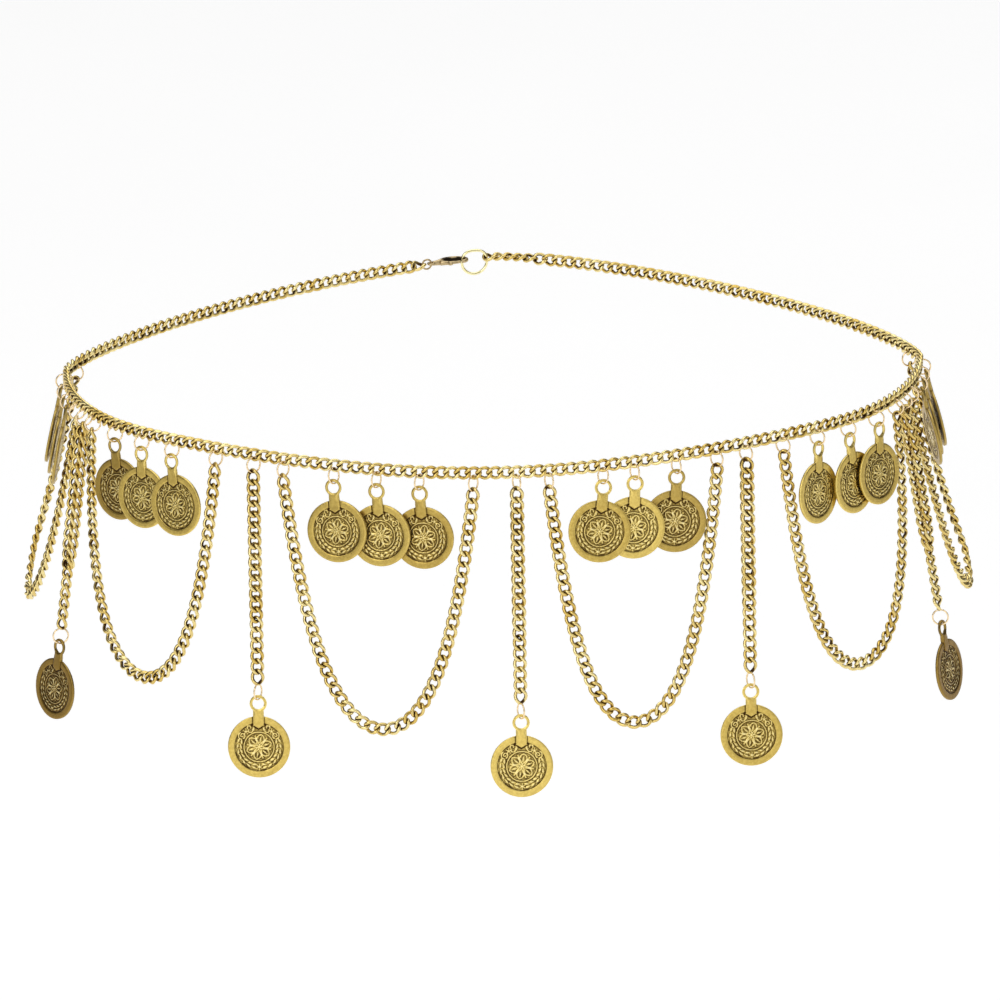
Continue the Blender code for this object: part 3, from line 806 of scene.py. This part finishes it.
def ring_mesh(name, radius, wire, around, sides, gap=0.0, stretch=1.0, flatness=1.0):
    """A wire ring in its X and Z plane, with the small gap where a jump ring was bent shut.

    A worn ring is stretched along X, and its upper half is flattened by a power under 1.
    """
    if gap:
        half = gap / radius / 2
        turns = RING_GAP_TURN + np.linspace(half, 2 * math.pi - half, around)
    else:
        turns = 2 * math.pi * np.arange(around) / around
    cosine, sine = np.cos(turns), np.sin(turns)
    power = np.where(sine > 0, flatness, 1.0)
    x = stretch * radius * np.sign(cosine) * np.abs(cosine) ** power
    z = radius * np.sign(sine) * np.abs(sine) ** power
    path = np.stack([x, np.zeros(len(turns)), z], axis=1)
    points, faces, _ = sweep(path, wire / 2, np.array([0.0, 1.0, 0.0]), not gap, sides)
    darkening = np.clip(RANDOM.normal(*RING_GRIME, len(points)), 0, 1)
    return make_mesh(name, points, faces, {"dirt_and_shade": darkening, "tone": np.full(len(points), RING_TONE)})


def opening_turn(axis, most):
    """How far a ring hangs turned about the vertical, so that it shows as an oval from the front."""
    azimuth = math.atan2(axis[0], -axis[1])
    turn = min(most, RING_OPEN - RING_OPEN_LOSS * abs(azimuth), max(0.0, RING_FACING - abs(azimuth)))
    return math.copysign(turn, azimuth)


def turned_matrix(sideways, upward, turn, centre):
    normal = np.cross(upward, sideways)
    x = sideways * math.cos(turn) + normal * math.sin(turn)
    return axes_matrix(x, np.cross(upward, x), upward, centre)


def build_rings():
    jump = ring_mesh("jump_ring", RING_RADIUS, RING_WIRE, RING_AROUND, RING_SIDES, gap=RING_GAP)
    hung = {}
    for number, link in enumerate(DROPS):
        hung[f"drop_{number}_top_ring"] = (link, STRAND_SWING, 0.0)
    for number, swag in enumerate(SWAGS):
        hung[f"swag_{number}_left_ring"] = (swag["start"], STRAND_SWING, 0.0)
        hung[f"swag_{number}_right_ring"] = (swag["end"], STRAND_SWING, 0.0)
    for number, trio in enumerate(TRIOS):
        columns = (trio[key] for key in ("links", "swing", "turn"))
        for place_in, (link, swing, coin_turn) in enumerate(zip(*columns)):
            to_viewer = max(0.0, -math.copysign(1, link) * math.radians(coin_turn))
            hung[f"trio_{number}_ring_{place_in}"] = (link, math.radians(swing), to_viewer)
    for name, (link, swing, to_viewer) in hung.items():
        along = link_along(link)
        centre, lowest = ring_points(along, swing)
        upward = (centre - lowest) / RING_RADIUS
        outward = belt_frame(along)[2]
        sideways = outward * math.cos(swing) + UP * math.sin(swing)
        turn = opening_turn(outward, RING_OPEN - to_viewer) * RANDOM.uniform(*RING_TURN_RANGE)
        place(name, jump, RING_METAL, turned_matrix(sideways, upward, turn, centre))
    for number, (link, turned) in enumerate(zip(DROPS, np.radians(DROP_TURNS))):
        along = link_along(link)
        _, outward, up = hang_axes(along, turned)
        turn = opening_turn(outward, DROP_RING_OPEN)
        matrix = turned_matrix(outward, up, turn, drop_ring(along)[0])
        place(f"drop_{number}_end_ring", jump, RING_METAL, matrix)


def stroke_height(points, path, widths):
    """How high each point stands on a rounded stroke, 0 to 1, and how far outside its edge it is."""
    path, widths = np.asarray(path, float), np.asarray(widths, float)
    best, outside = np.zeros(len(points)), np.full(len(points), FAR_AWAY)
    for a, b, wide_a, wide_b in zip(path, path[1:], widths, widths[1:]):
        along = b - a
        share = np.clip(((points - a) @ along) / max(along @ along, 1e-12), 0, 1)
        away = np.linalg.norm(points - a - share[:, None] * along, axis=1)
        width = np.maximum(wide_a + (wide_b - wide_a) * share, 1e-6)
        best = np.maximum(best, np.clip(1 - (away / width) ** 2, 0, 1) ** 0.5)
        outside = np.minimum(outside, away - width)
    return best, outside


def polar(radius, degrees):
    """A point of the coin, from its centre, in disc radii and degrees from the right."""
    turn = math.radians(degrees)
    return np.array([radius * math.cos(turn), radius * math.sin(turn)])


def leaf(base, degrees, length, width):
    """A pointed leaf: a straight spine whose width swells and closes."""
    shares = np.linspace(0, 1, LEAF_STEPS)
    path = [base + polar(length * share, degrees) for share in shares]
    return path, width * np.sin(math.pi * shares**SPINDLE_POWER) + LEAF_TIP


def scroll(centre, radius, start, turns, width):
    """A curl that winds inwards and thins."""
    shares = np.linspace(0, 1, SCROLL_STEPS)
    path = [centre + polar(radius * (1 - SCROLL_WOUND_IN * s), start + 360 * turns * s) for s in shares]
    return path, width * (1 - SCROLL_THINNED * shares)


def star(centre, radius, points):
    """Crossed short strokes that taper outwards."""
    strokes = []
    for k in range(points):
        tip = centre + polar(radius, 90 + 360 * k / points)
        strokes.append(([centre, tip], [radius * STAR_ROOT, STAR_TIP]))
    return strokes


def mirrored(strokes):
    return strokes + [([(-p[0], p[1]) for p in path], widths) for path, widths in strokes]


def dot(centre, radius):
    return [centre, centre + DOT_LENGTH], [radius, radius]


def arc_line(centre, radius, start, end, width):
    turns = np.linspace(start, end, ARC_STEPS)
    return [centre + polar(radius, turn) for turn in turns], [width] * ARC_STEPS


def petal(turn, start, reach, spread, width):
    """The two sides of a petal that starts and ends in a point, as lines."""
    shares = np.linspace(0, 1, PETAL_STEPS)
    sides = []
    for side in (-1, 1):
        turns = [turn + side * spread * math.sin(math.pi * share) ** SPINDLE_POWER for share in shares]
        path = [polar(start + reach * share, at) for share, at in zip(shares, turns)]
        sides.append((path, [width] * PETAL_STEPS))
    return sides


def front_motifs():
    """A wreath of paired leaves, curls, knots, stars and dots, with a rosette of petals in the middle."""
    strokes = []
    for k in range(7):
        turn = -78 + 15.5 * k
        strokes.append(leaf(polar(0.570, turn - 4), turn + 76, 0.150, 0.037))
        strokes.append(leaf(polar(0.706, turn - 3), turn + 104, 0.160, 0.036))
    strokes.append(scroll(polar(0.645, 35), 0.095, 250, -1.2, 0.028))
    strokes.append(arc_line(polar(0.640, 35), 0.125, -60, 60, 0.022))
    strokes += star(polar(0.650, 51), 0.085, 5)
    strokes.append(arc_line(polar(0.600, 64), 0.070, 150, 380, 0.024))
    strokes.append(arc_line(polar(0.705, 64), 0.055, -30, 200, 0.024))
    strokes.append(leaf(polar(0.560, 74), 84, 0.165, 0.032))
    strokes.append(dot(polar(0.735, 75), 0.028))
    strokes = mirrored(strokes)
    strokes += star(np.array([0.0, -0.655]), 0.100, 6)
    for k in range(6):
        turn = 60 * k + 18
        strokes += petal(turn, 0.06, 0.35, 26, 0.024)
        strokes.append(leaf(polar(0.150, turn), turn, 0.190, 0.030))
        strokes.append(dot(polar(0.375, turn + 30), 0.032))
        strokes.append(leaf(polar(0.255, turn + 30), turn + 30, 0.080, 0.020))
    strokes.append(dot(np.array([0.0, 0.0]), 0.060))
    return strokes


def back_motifs():
    """A rosette of petals inside a band of dots and short leaves."""
    strokes = []
    for k in range(12):
        strokes.append(leaf(polar(0.10, 30 * k), 30 * k, 0.33, 0.058))
        strokes.append(dot(polar(0.37, 30 * k + 15), 0.030))
    for k in range(24):
        if k % 2:
            strokes.append(dot(polar(0.64, 15 * k), 0.045))
        else:
            strokes.append(leaf(polar(0.55, 15 * k), 15 * k, 0.19, 0.040))
            strokes.append(leaf(polar(0.57, 15 * k + 4), 15 * k + 55, 0.10, 0.022))
            strokes.append(leaf(polar(0.57, 15 * k - 4), 15 * k - 55, 0.10, 0.022))
    strokes.append(dot(np.array([0.0, 0.0]), 0.075))
    return strokes


def circle(radius, count, centre=(0.0, 0.0), start=0.0, end=2 * math.pi, closed=True):
    turns = np.linspace(start, end, count, endpoint=not closed)
    return np.stack([centre[0] + radius * np.cos(turns), centre[1] + radius * np.sin(turns)], axis=1)


def coin_outline():
    disc_turn = math.asin(TAB_HALF_WIDTH)
    start, end = math.pi / 2 + disc_turn, 2.5 * math.pi - disc_turn
    disc = circle(1.0, RIM_SIDES, (0.0, 0.0), start, end, closed=False)
    eye_turn = math.asin(TAB_HALF_WIDTH / EYE_OUTER)
    start, end = -math.pi / 2 + eye_turn, 1.5 * math.pi - eye_turn
    eye = circle(EYE_OUTER, EYE_SIDES, (0.0, EYE_HEIGHT), start, end, closed=False)
    right_neck = np.linspace(disc[-1], eye[0], NECK_POINTS)[1:-1]
    left_neck = np.linspace(eye[-1], disc[0], NECK_POINTS)[1:-1]
    return np.concatenate([disc, right_neck, eye, left_neck])


def inside_by(points):
    """How far inside the coin's outline each point lies, in disc radii; under 0 outside or in the hole."""
    x, y = points[:, 0], points[:, 1]
    radius, eye_radius = np.hypot(x, y), np.hypot(x, y - EYE_HEIGHT)
    neck = np.where((y > 0.7) & (y < EYE_HEIGHT), TAB_HALF_WIDTH - np.abs(x), -1)
    body = np.maximum(np.maximum(1 - radius, neck), EYE_OUTER - eye_radius)
    return np.minimum(body, eye_radius - EYE_HOLE)


def tab_depth(points):
    """How far inside the pointed tab each point lies."""
    x, y = np.abs(points[:, 0]), points[:, 1]
    tip = (y - TAB_TIP - TAB_SLOPE * x) / math.hypot(1, TAB_SLOPE)
    return np.minimum(TAB_HALF_WIDTH - x, tip)


def smooth_step(values, low, high):
    share = np.clip((values - low) / (high - low), 0, 1)
    return share * share * (3 - 2 * share)


def thinned(taken, batch, spacing):
    """The points taken, with those of a batch that lie inside the coin and clear of all before them."""
    chosen = []
    for p in batch:
        if inside_by(p[None])[0] < OUTLINE_CLEARANCE:
            continue
        near = taken if not chosen else np.concatenate([taken, chosen])
        if np.min(((near - p) ** 2).sum(axis=1)) > (spacing * COIN_GRID) ** 2:
            chosen.append(p)
    return np.concatenate([taken, chosen]) if chosen else taken


def coin_points(spines):
    """The flat points that both faces share: crisp rings and edges, a fine field and a coarse rim."""
    outline, hole = coin_outline(), circle(EYE_HOLE, HOLE_SIDES, (0.0, EYE_HEIGHT))
    loops = [circle(radius, count) for radius, count in COIN_LOOPS]
    loops += [circle(radius, EYE_SIDES, (0.0, EYE_HEIGHT)) for radius in EYE_LOOPS]
    point = TAB_TIP + TAB_SLOPE * TAB_HALF_WIDTH
    for inset in TAB_INSETS:
        half = TAB_HALF_WIDTH - inset
        right = np.linspace((half, TAB_LOOP_TOP), (half, point + inset), TAB_SIDE_POINTS)
        tip = (0.0, TAB_TIP + inset * TAB_TIP_INSET)
        slant = np.linspace((half, point + inset), tip, TAB_SLANT_POINTS)[1:]
        side = np.concatenate([right, slant])
        loops += [side, side * (-1, 1)]
    columns = np.arange(-COIN_GRID_HALF_SPAN, COIN_GRID_HALF_SPAN, COIN_GRID)
    rows = np.arange(-COIN_GRID_HALF_SPAN, COIN_GRID_HALF_SPAN, COIN_GRID * COIN_ROW_SPACING)
    grid = []
    for number, y in enumerate(rows):
        shift = COIN_GRID / 2 * (number % 2)
        grid += [(x + shift, y) for x in columns]
    grid = np.array([p for p in grid if math.hypot(*p) < COIN_GRID_RADIUS])
    spines = np.array([p for p in spines if math.hypot(*p) < COIN_GRID_RADIUS])
    points = np.concatenate([outline, hole])
    points = thinned(points, np.concatenate(loops), LOOP_SPACING)
    points = thinned(points, spines, SPINE_SPACING)
    points = thinned(points, grid, GRID_SPACING)
    return points, len(outline), len(hole)


def coin_face(points, motifs):
    """Height of each point over the coin's middle, and its relief and edge values."""
    x, y = points[:, 0], points[:, 1]
    radius = np.hypot(x, y)
    field = 1 - smooth_step(radius, *RIM_STEP)
    raised, outside = np.zeros(len(points)), np.full(len(points), FAR_AWAY)
    for path, widths in motifs:
        rise, beyond = stroke_height(points, path, widths)
        raised, outside = np.maximum(raised, rise), np.minimum(outside, beyond)
    ring = np.abs(radius - INNER_RING)
    raised = np.maximum(raised, np.clip(1 - (ring / INNER_RING_HALF_WIDTH) ** 2, 0, 1) ** 0.5)
    tab_in = tab_depth(points)
    tab = smooth_step(tab_in, *TAB_STEP)
    foot = np.minimum(np.minimum(outside, ring - INNER_RING_HALF_WIDTH), RIM_FOOT - radius)
    foot = np.where(tab_in < 0, np.minimum(np.where(foot < 0, FAR_AWAY, foot), -tab_in), foot)
    shaded = np.exp(-((np.maximum(foot, 0) / FOOT_REACH) ** 2))
    raised = raised * field * (1 - tab)
    sunk = -FIELD_DEPTH * field * (1 - tab)
    height = sunk + RELIEF_HEIGHT * raised
    height = np.where(tab > 0, np.maximum(height, TAB_RISE * tab + sunk), height)
    roundness = EDGE_ROUND + (EYE_ROUND - EDGE_ROUND) * smooth_step(y, *EYE_ROUND_AT)
    within = np.clip(inside_by(points) / roundness, 0, 1)
    height -= roundness * (1 - np.sqrt(1 - (1 - within) ** 2))
    beside = np.exp(-((np.minimum(tab_in, 0) + GROOVE_PLACE) / GROOVE_REACH) ** 2)
    beside = beside * (tab < GROOVE_TAB_LIMIT) * (y < GROOVE_TOP)
    height -= TAB_GROOVE * beside
    # painted shade: the open field darkens at the feet of the strokes, the inner ring, the rim and the tab
    low = OPEN_FIELD * (1 - SHADE_SHARE * shaded)
    plain = PLAIN_RELIEF * np.maximum(1 - field, tab)
    stamped = RAISED_RELIEF[0] + RAISED_RELIEF[1] * raised
    relief = np.maximum(np.where(raised > RAISED_FROM, stamped, low), plain)
    # painted shade: dark lines beside the tab where it lies over the disc
    relief = np.clip(relief - HIGHEST_RELIEF * beside, 0, HIGHEST_RELIEF)
    edge = np.clip((1 - within) * EDGE_BRIGHTNESS, 0, 1)
    return height, relief, edge


def spine_points(motifs):
    """Points along the middle of every stroke, so that its crest is in the mesh."""
    spines = []
    for path, _ in motifs:
        path = np.asarray(path, float)
        for a, b in zip(path, path[1:]):
            count = max(1, int(np.linalg.norm(b - a) / (SPINE_STEP * COIN_GRID)))
            spines += [a + (b - a) * k / count for k in range(count)]
        spines.append(path[-1])
    return spines


def coin_triangles(points, outline_count, hole_count):
    """The flat points, their triangles facing one way, and the loops round the coin and its hole."""
    loops = []
    for first, count in ((0, outline_count), (outline_count, hole_count)):
        loops.append([(first + i, first + (i + 1) % count) for i in range(count)])
    vectors = [Vector(p) for p in points]
    flat, _, triangles, *_ = delaunay_2d_cdt(vectors, loops[0] + loops[1], [], 0, MERGE_DISTANCE)
    flat = np.array([tuple(p) for p in flat])
    triangles = np.array(triangles)
    triangles = triangles[inside_by(flat[triangles].mean(axis=1)) > 0]
    a, b, c = (flat[triangles[:, i]] for i in range(3))
    turned = np.cross(b - a, c - a) < 0
    triangles[turned] = triangles[turned][:, ::-1]
    return flat, triangles.tolist(), loops


def coin_mesh():
    """One coin in its own frame: X across, Z up, Y through, the pivot at the origin."""
    front = front_motifs()
    flat, triangles, loops = coin_triangles(*coin_points(spine_points(front)))
    count = len(flat)
    half = COIN_THICKNESS / COIN_RADIUS / 2
    height, relief, edge = coin_face(flat, front)
    back_height, back_relief, back_edge = coin_face(flat * (-1, 1), back_motifs())
    level = flat[:, 1] - COIN_PIVOT / COIN_RADIUS
    front_points = np.stack([flat[:, 0], -(half + height), level], axis=1)
    back_points = np.stack([flat[:, 0], half + back_height, level], axis=1)
    faces = [tuple(t) for t in triangles]
    faces += [tuple(count + i for i in t[::-1]) for t in triangles]
    for loop in loops:
        faces += [(j, i, count + i, count + j) for i, j in loop]
    radius = np.hypot(flat[:, 0], flat[:, 1])
    turn = np.degrees(np.arctan2(flat[:, 1], flat[:, 0])).round(0).astype(int) % BRUSH_STREAKS
    streaks = RANDOM.uniform(0, 1, BRUSH_STREAKS)[turn] * (radius > RIM_INNER)
    attributes = {
        "relief": np.concatenate([relief, back_relief]),
        "edge": np.concatenate([edge, back_edge]),
        "brush": np.concatenate([streaks, streaks]),
    }
    points = np.concatenate([front_points, back_points]) * COIN_RADIUS
    return make_mesh("coin", points, faces, attributes)


def build_coins():
    blank = coin_mesh()
    coins = {}
    for number, trio in enumerate(TRIOS):
        columns = (trio["links"], *(np.radians(trio[key]) for key in ("turn", "swing", "lean")))
        for place_in, (link, turn, swing, lean) in enumerate(zip(*columns)):
            along = link_along(link)
            pivot = ring_points(along, swing)[1]
            coins[f"trio_{number}_coin_{place_in}"] = (along, turn, lean, pivot)
    for number, (link, turn) in enumerate(zip(DROPS, np.radians(DROP_TURNS))):
        along = link_along(link)
        coins[f"drop_{number}_coin"] = (along, turn, 0.0, drop_ring(along)[1])
    for node, (along, turn, lean, pivot) in coins.items():
        across, through, up = hang_axes(along, turn)
        side = across * math.cos(lean) + up * math.sin(lean)
        top = up * math.cos(lean) - across * math.sin(lean)
        mesh = blank.copy()
        mesh.name = f"{node}_stamped"
        # painted shade browns each coin by its key
        shade_browning = next((value for key, value in COIN_SHADE_BROWNING.items() if node.startswith(key)), 0.0)
        for key, level in (("tone", RANDOM.uniform(*COIN_TONES)), ("shade_browning", shade_browning)):
            layer = mesh.attributes.new(key, "FLOAT", "POINT")
            layer.data.foreach_set("value", np.full(len(mesh.vertices), level, np.float32))
        matrix = axes_matrix(side, -through, top, pivot)
        place(f"{node}_stamped", mesh, COIN_METAL, matrix, f"{node}_body", [node])


def smooth_path(points, count):
    """A smooth line through a few points, with values that go with them."""
    points = np.asarray(points, float)
    padded = np.concatenate([2 * points[:1] - points[1:2], points, 2 * points[-1:] - points[-2:-1]])
    made = []
    for place_on in np.linspace(0, len(points) - 1 - 1e-9, count):
        i, t = int(place_on), place_on % 1
        a, b, c, d = padded[i : i + 4]
        squared, cubed = 2 * a - 5 * b + 4 * c - d, 3 * b - a - 3 * c + d
        made.append(0.5 * (2 * b + (c - a) * t + squared * t**2 + cubed * t**3))
    return np.array(made)


def clasp_tube(tube, to_place):
    """A tube along one of the clasp's tables, darker towards its mouth in painted shade: points, faces,
    dirt and shade values.
    """
    along, out, radii = smooth_path(tube["rows"], tube["count"]).T / MM_PER_METRE
    path = np.stack([along, out, np.zeros(tube["count"])], axis=1)
    points, faces, _ = sweep(path, radii, UP, False, tube["sides"], tube["squash"])
    from_mouth = np.linalg.norm((points[:, :2] - CLASP_MOUTH_MIDDLE) / CLASP_MOUTH_HALF, axis=1)
    # painted shade inside the hook, never under the even level of dirt
    dirt_and_shade = np.clip(CLASP_SHADE_REACH - from_mouth, *CLASP_DIRT_AND_SHADE)
    return points @ to_place[0] + to_place[1], faces, dirt_and_shade


def clasp_ring(radius, wire, centre, x, y):
    turns = 2 * math.pi * np.arange(CLASP_RING_AROUND) / CLASP_RING_AROUND
    path = centre + np.outer(np.cos(turns) * radius, x) + np.outer(np.sin(turns) * radius, y)
    points, faces, _ = sweep(path, wire / 2, np.cross(x, y), True, RING_SIDES)
    return points, faces, np.full(len(points), CLASP_DIRT_AND_SHADE[0])


def place_clasp(name, parts, nodes=()):
    points, faces, dirt_and_shade = join(parts)
    attributes = {"dirt_and_shade": dirt_and_shade, "tone": np.full(len(points), CLASP_TONE)}
    mesh = make_mesh(name, points, faces, attributes)
    place(name, mesh, CLASP_METAL, nodes=nodes)


def build_clasp():
    near_wire = CLOSING_RING_ALONG + CLOSING_RING_RADIUS - CLOSING_RING_WIRE / 2
    middle, tangent, outward = belt_frame(near_wire - CLASP_PAST_RING + CLASP_LENGTH / 2)
    to_place = (np.array([tangent, outward, UP]), middle)
    eye_place = middle + tangent * CLASP_EYE_ALONG
    claw, rivet, lever, thumb = (clasp_tube(tube, to_place) for tube in (CLAW, RIVET, LEVER, THUMB))
    eye = clasp_ring(CLASP_EYE_RADIUS, CLASP_EYE_WIRE, eye_place, tangent, outward)
    place_clasp("clasp_body_cast", [claw, eye, rivet], ["clasp_body"])
    place_clasp("clasp_lever_cast", [lever, thumb], ["clasp_lever"])
    centre, along_ring, _ = belt_frame(CHAIN_END_LEFT - CLASP_RING_RADIUS + CLASP_RING_WIRE)
    small = clasp_ring(CLASP_RING_RADIUS, CLASP_RING_WIRE, centre, along_ring, UP)
    place_clasp("clasp_small_ring", [small])


def build_closing_ring():
    centre, along_ring, _ = belt_frame(CLOSING_RING_ALONG)
    centre = centre - UP * CLOSING_RING_DROP
    mesh = ring_mesh(
        "closing_ring_wire",
        CLOSING_RING_RADIUS,
        CLOSING_RING_WIRE,
        CLOSING_RING_AROUND,
        CLOSING_RING_SIDES,
        stretch=CLOSING_RING_STRETCH,
        flatness=CLOSING_RING_FLATNESS,
    )
    matrix = axes_matrix(along_ring, np.cross(UP, along_ring), UP, centre)
    place("closing_ring_wire", mesh, CLOSING_METAL, matrix, nodes=["closing_ring"])


def build_floor():
    low, size = cad_box[0][2] - FLOOR_DEPTH, FLOOR_HALF_SIZE
    corners = [(-size, -size, low), (size, -size, low), (size, size, low), (-size, size, low)]
    mesh = bpy.data.meshes.new("studio_floor")
    mesh.from_pydata(corners, [], [(0, 1, 2, 3)])
    material = bpy.data.materials.new("studio_floor")
    m = Nodes(material, "Principled BSDF")
    away = m.add("ShaderNodeVectorMath", {0: m.place_on("Object")}, operation="LENGTH")
    m.drive(
        Base_Color=m.mixed(m.noise(FLOOR_GRAIN), colour(*FLOOR_DARK), colour(*FLOOR_BRIGHT)),
        Emission_Strength=m.scaled(away.outputs["Value"], *FLOOR_GLOW_AT, *FLOOR_GLOW),
    )
    m.shader.inputs["Roughness"].default_value = FLOOR_ROUGHNESS
    m.shader.inputs["Emission Color"].default_value = WHITE
    mesh.materials.append(material)
    floor = bpy.data.objects.new("studio_floor", mesh)
    bpy.context.scene.collection.objects.link(floor)


def build_light():
    world = bpy.data.worlds.new("studio")
    w = Nodes(world, "Background")
    direction = w.add("ShaderNodeSeparateXYZ", {0: w.place_on("Generated")})
    sideways = w.math("ABSOLUTE", direction.outputs["X"])
    w.drive(Strength=w.scaled(sideways, *WORLD_SIDES_AT, *WORLD_STRENGTH))
    w.shader.inputs["Color"].default_value = WHITE
    bpy.context.scene.world = world
    for lamp in LIGHTS:
        light = bpy.data.lights.new(lamp["name"], "AREA")
        light.shape = "RECTANGLE"
        light.size, light.size_y = lamp["size"]
        light.energy = lamp["power"]
        thing = bpy.data.objects.new(lamp["name"], light)
        bpy.context.scene.collection.objects.link(thing)
        thing.location = lamp["place"]
        thing.rotation_mode = "QUATERNION"
        thing.rotation_quaternion = (-Vector(lamp["place"])).to_track_quat("-Z", "Y")
    bpy.context.scene.view_settings.view_transform = "Standard"


def build_camera():
    azimuth, elevation, roll = CAMERA_AZIMUTH, CAMERA_ELEVATION, CAMERA_ROLL
    right = np.array([math.cos(azimuth), math.sin(azimuth), 0.0])
    back = np.array([
        math.sin(azimuth) * math.cos(elevation),
        -math.cos(azimuth) * math.cos(elevation),
        math.sin(elevation),
    ])
    up = np.cross(back, right)
    rolled_right = math.cos(roll) * right - math.sin(roll) * up
    rolled_up = math.sin(roll) * right + math.cos(roll) * up
    data = bpy.data.cameras.new("photo_view")
    data.lens, data.sensor_width = CAMERA_LENS, CAMERA_SENSOR
    data.clip_end = CAMERA_REACH
    camera = bpy.data.objects.new("photo_view", data)
    bpy.context.scene.collection.objects.link(camera)
    place_at = np.array(CAMERA_TARGET) + back * CAMERA_DISTANCE
    camera.matrix_world = axes_matrix(rolled_right, rolled_up, back, place_at)
    bpy.context.scene.camera = camera


build_camera()
build_light()
build_floor()
build_belt()
for index, item in enumerate(SWAGS):
    build_swag(index, item)
for index, (item, turned) in enumerate(zip(DROPS, np.radians(DROP_TURNS))):
    build_drop(index, item, turned)
build_rings()
build_coins()
build_clasp()
build_closing_ring()
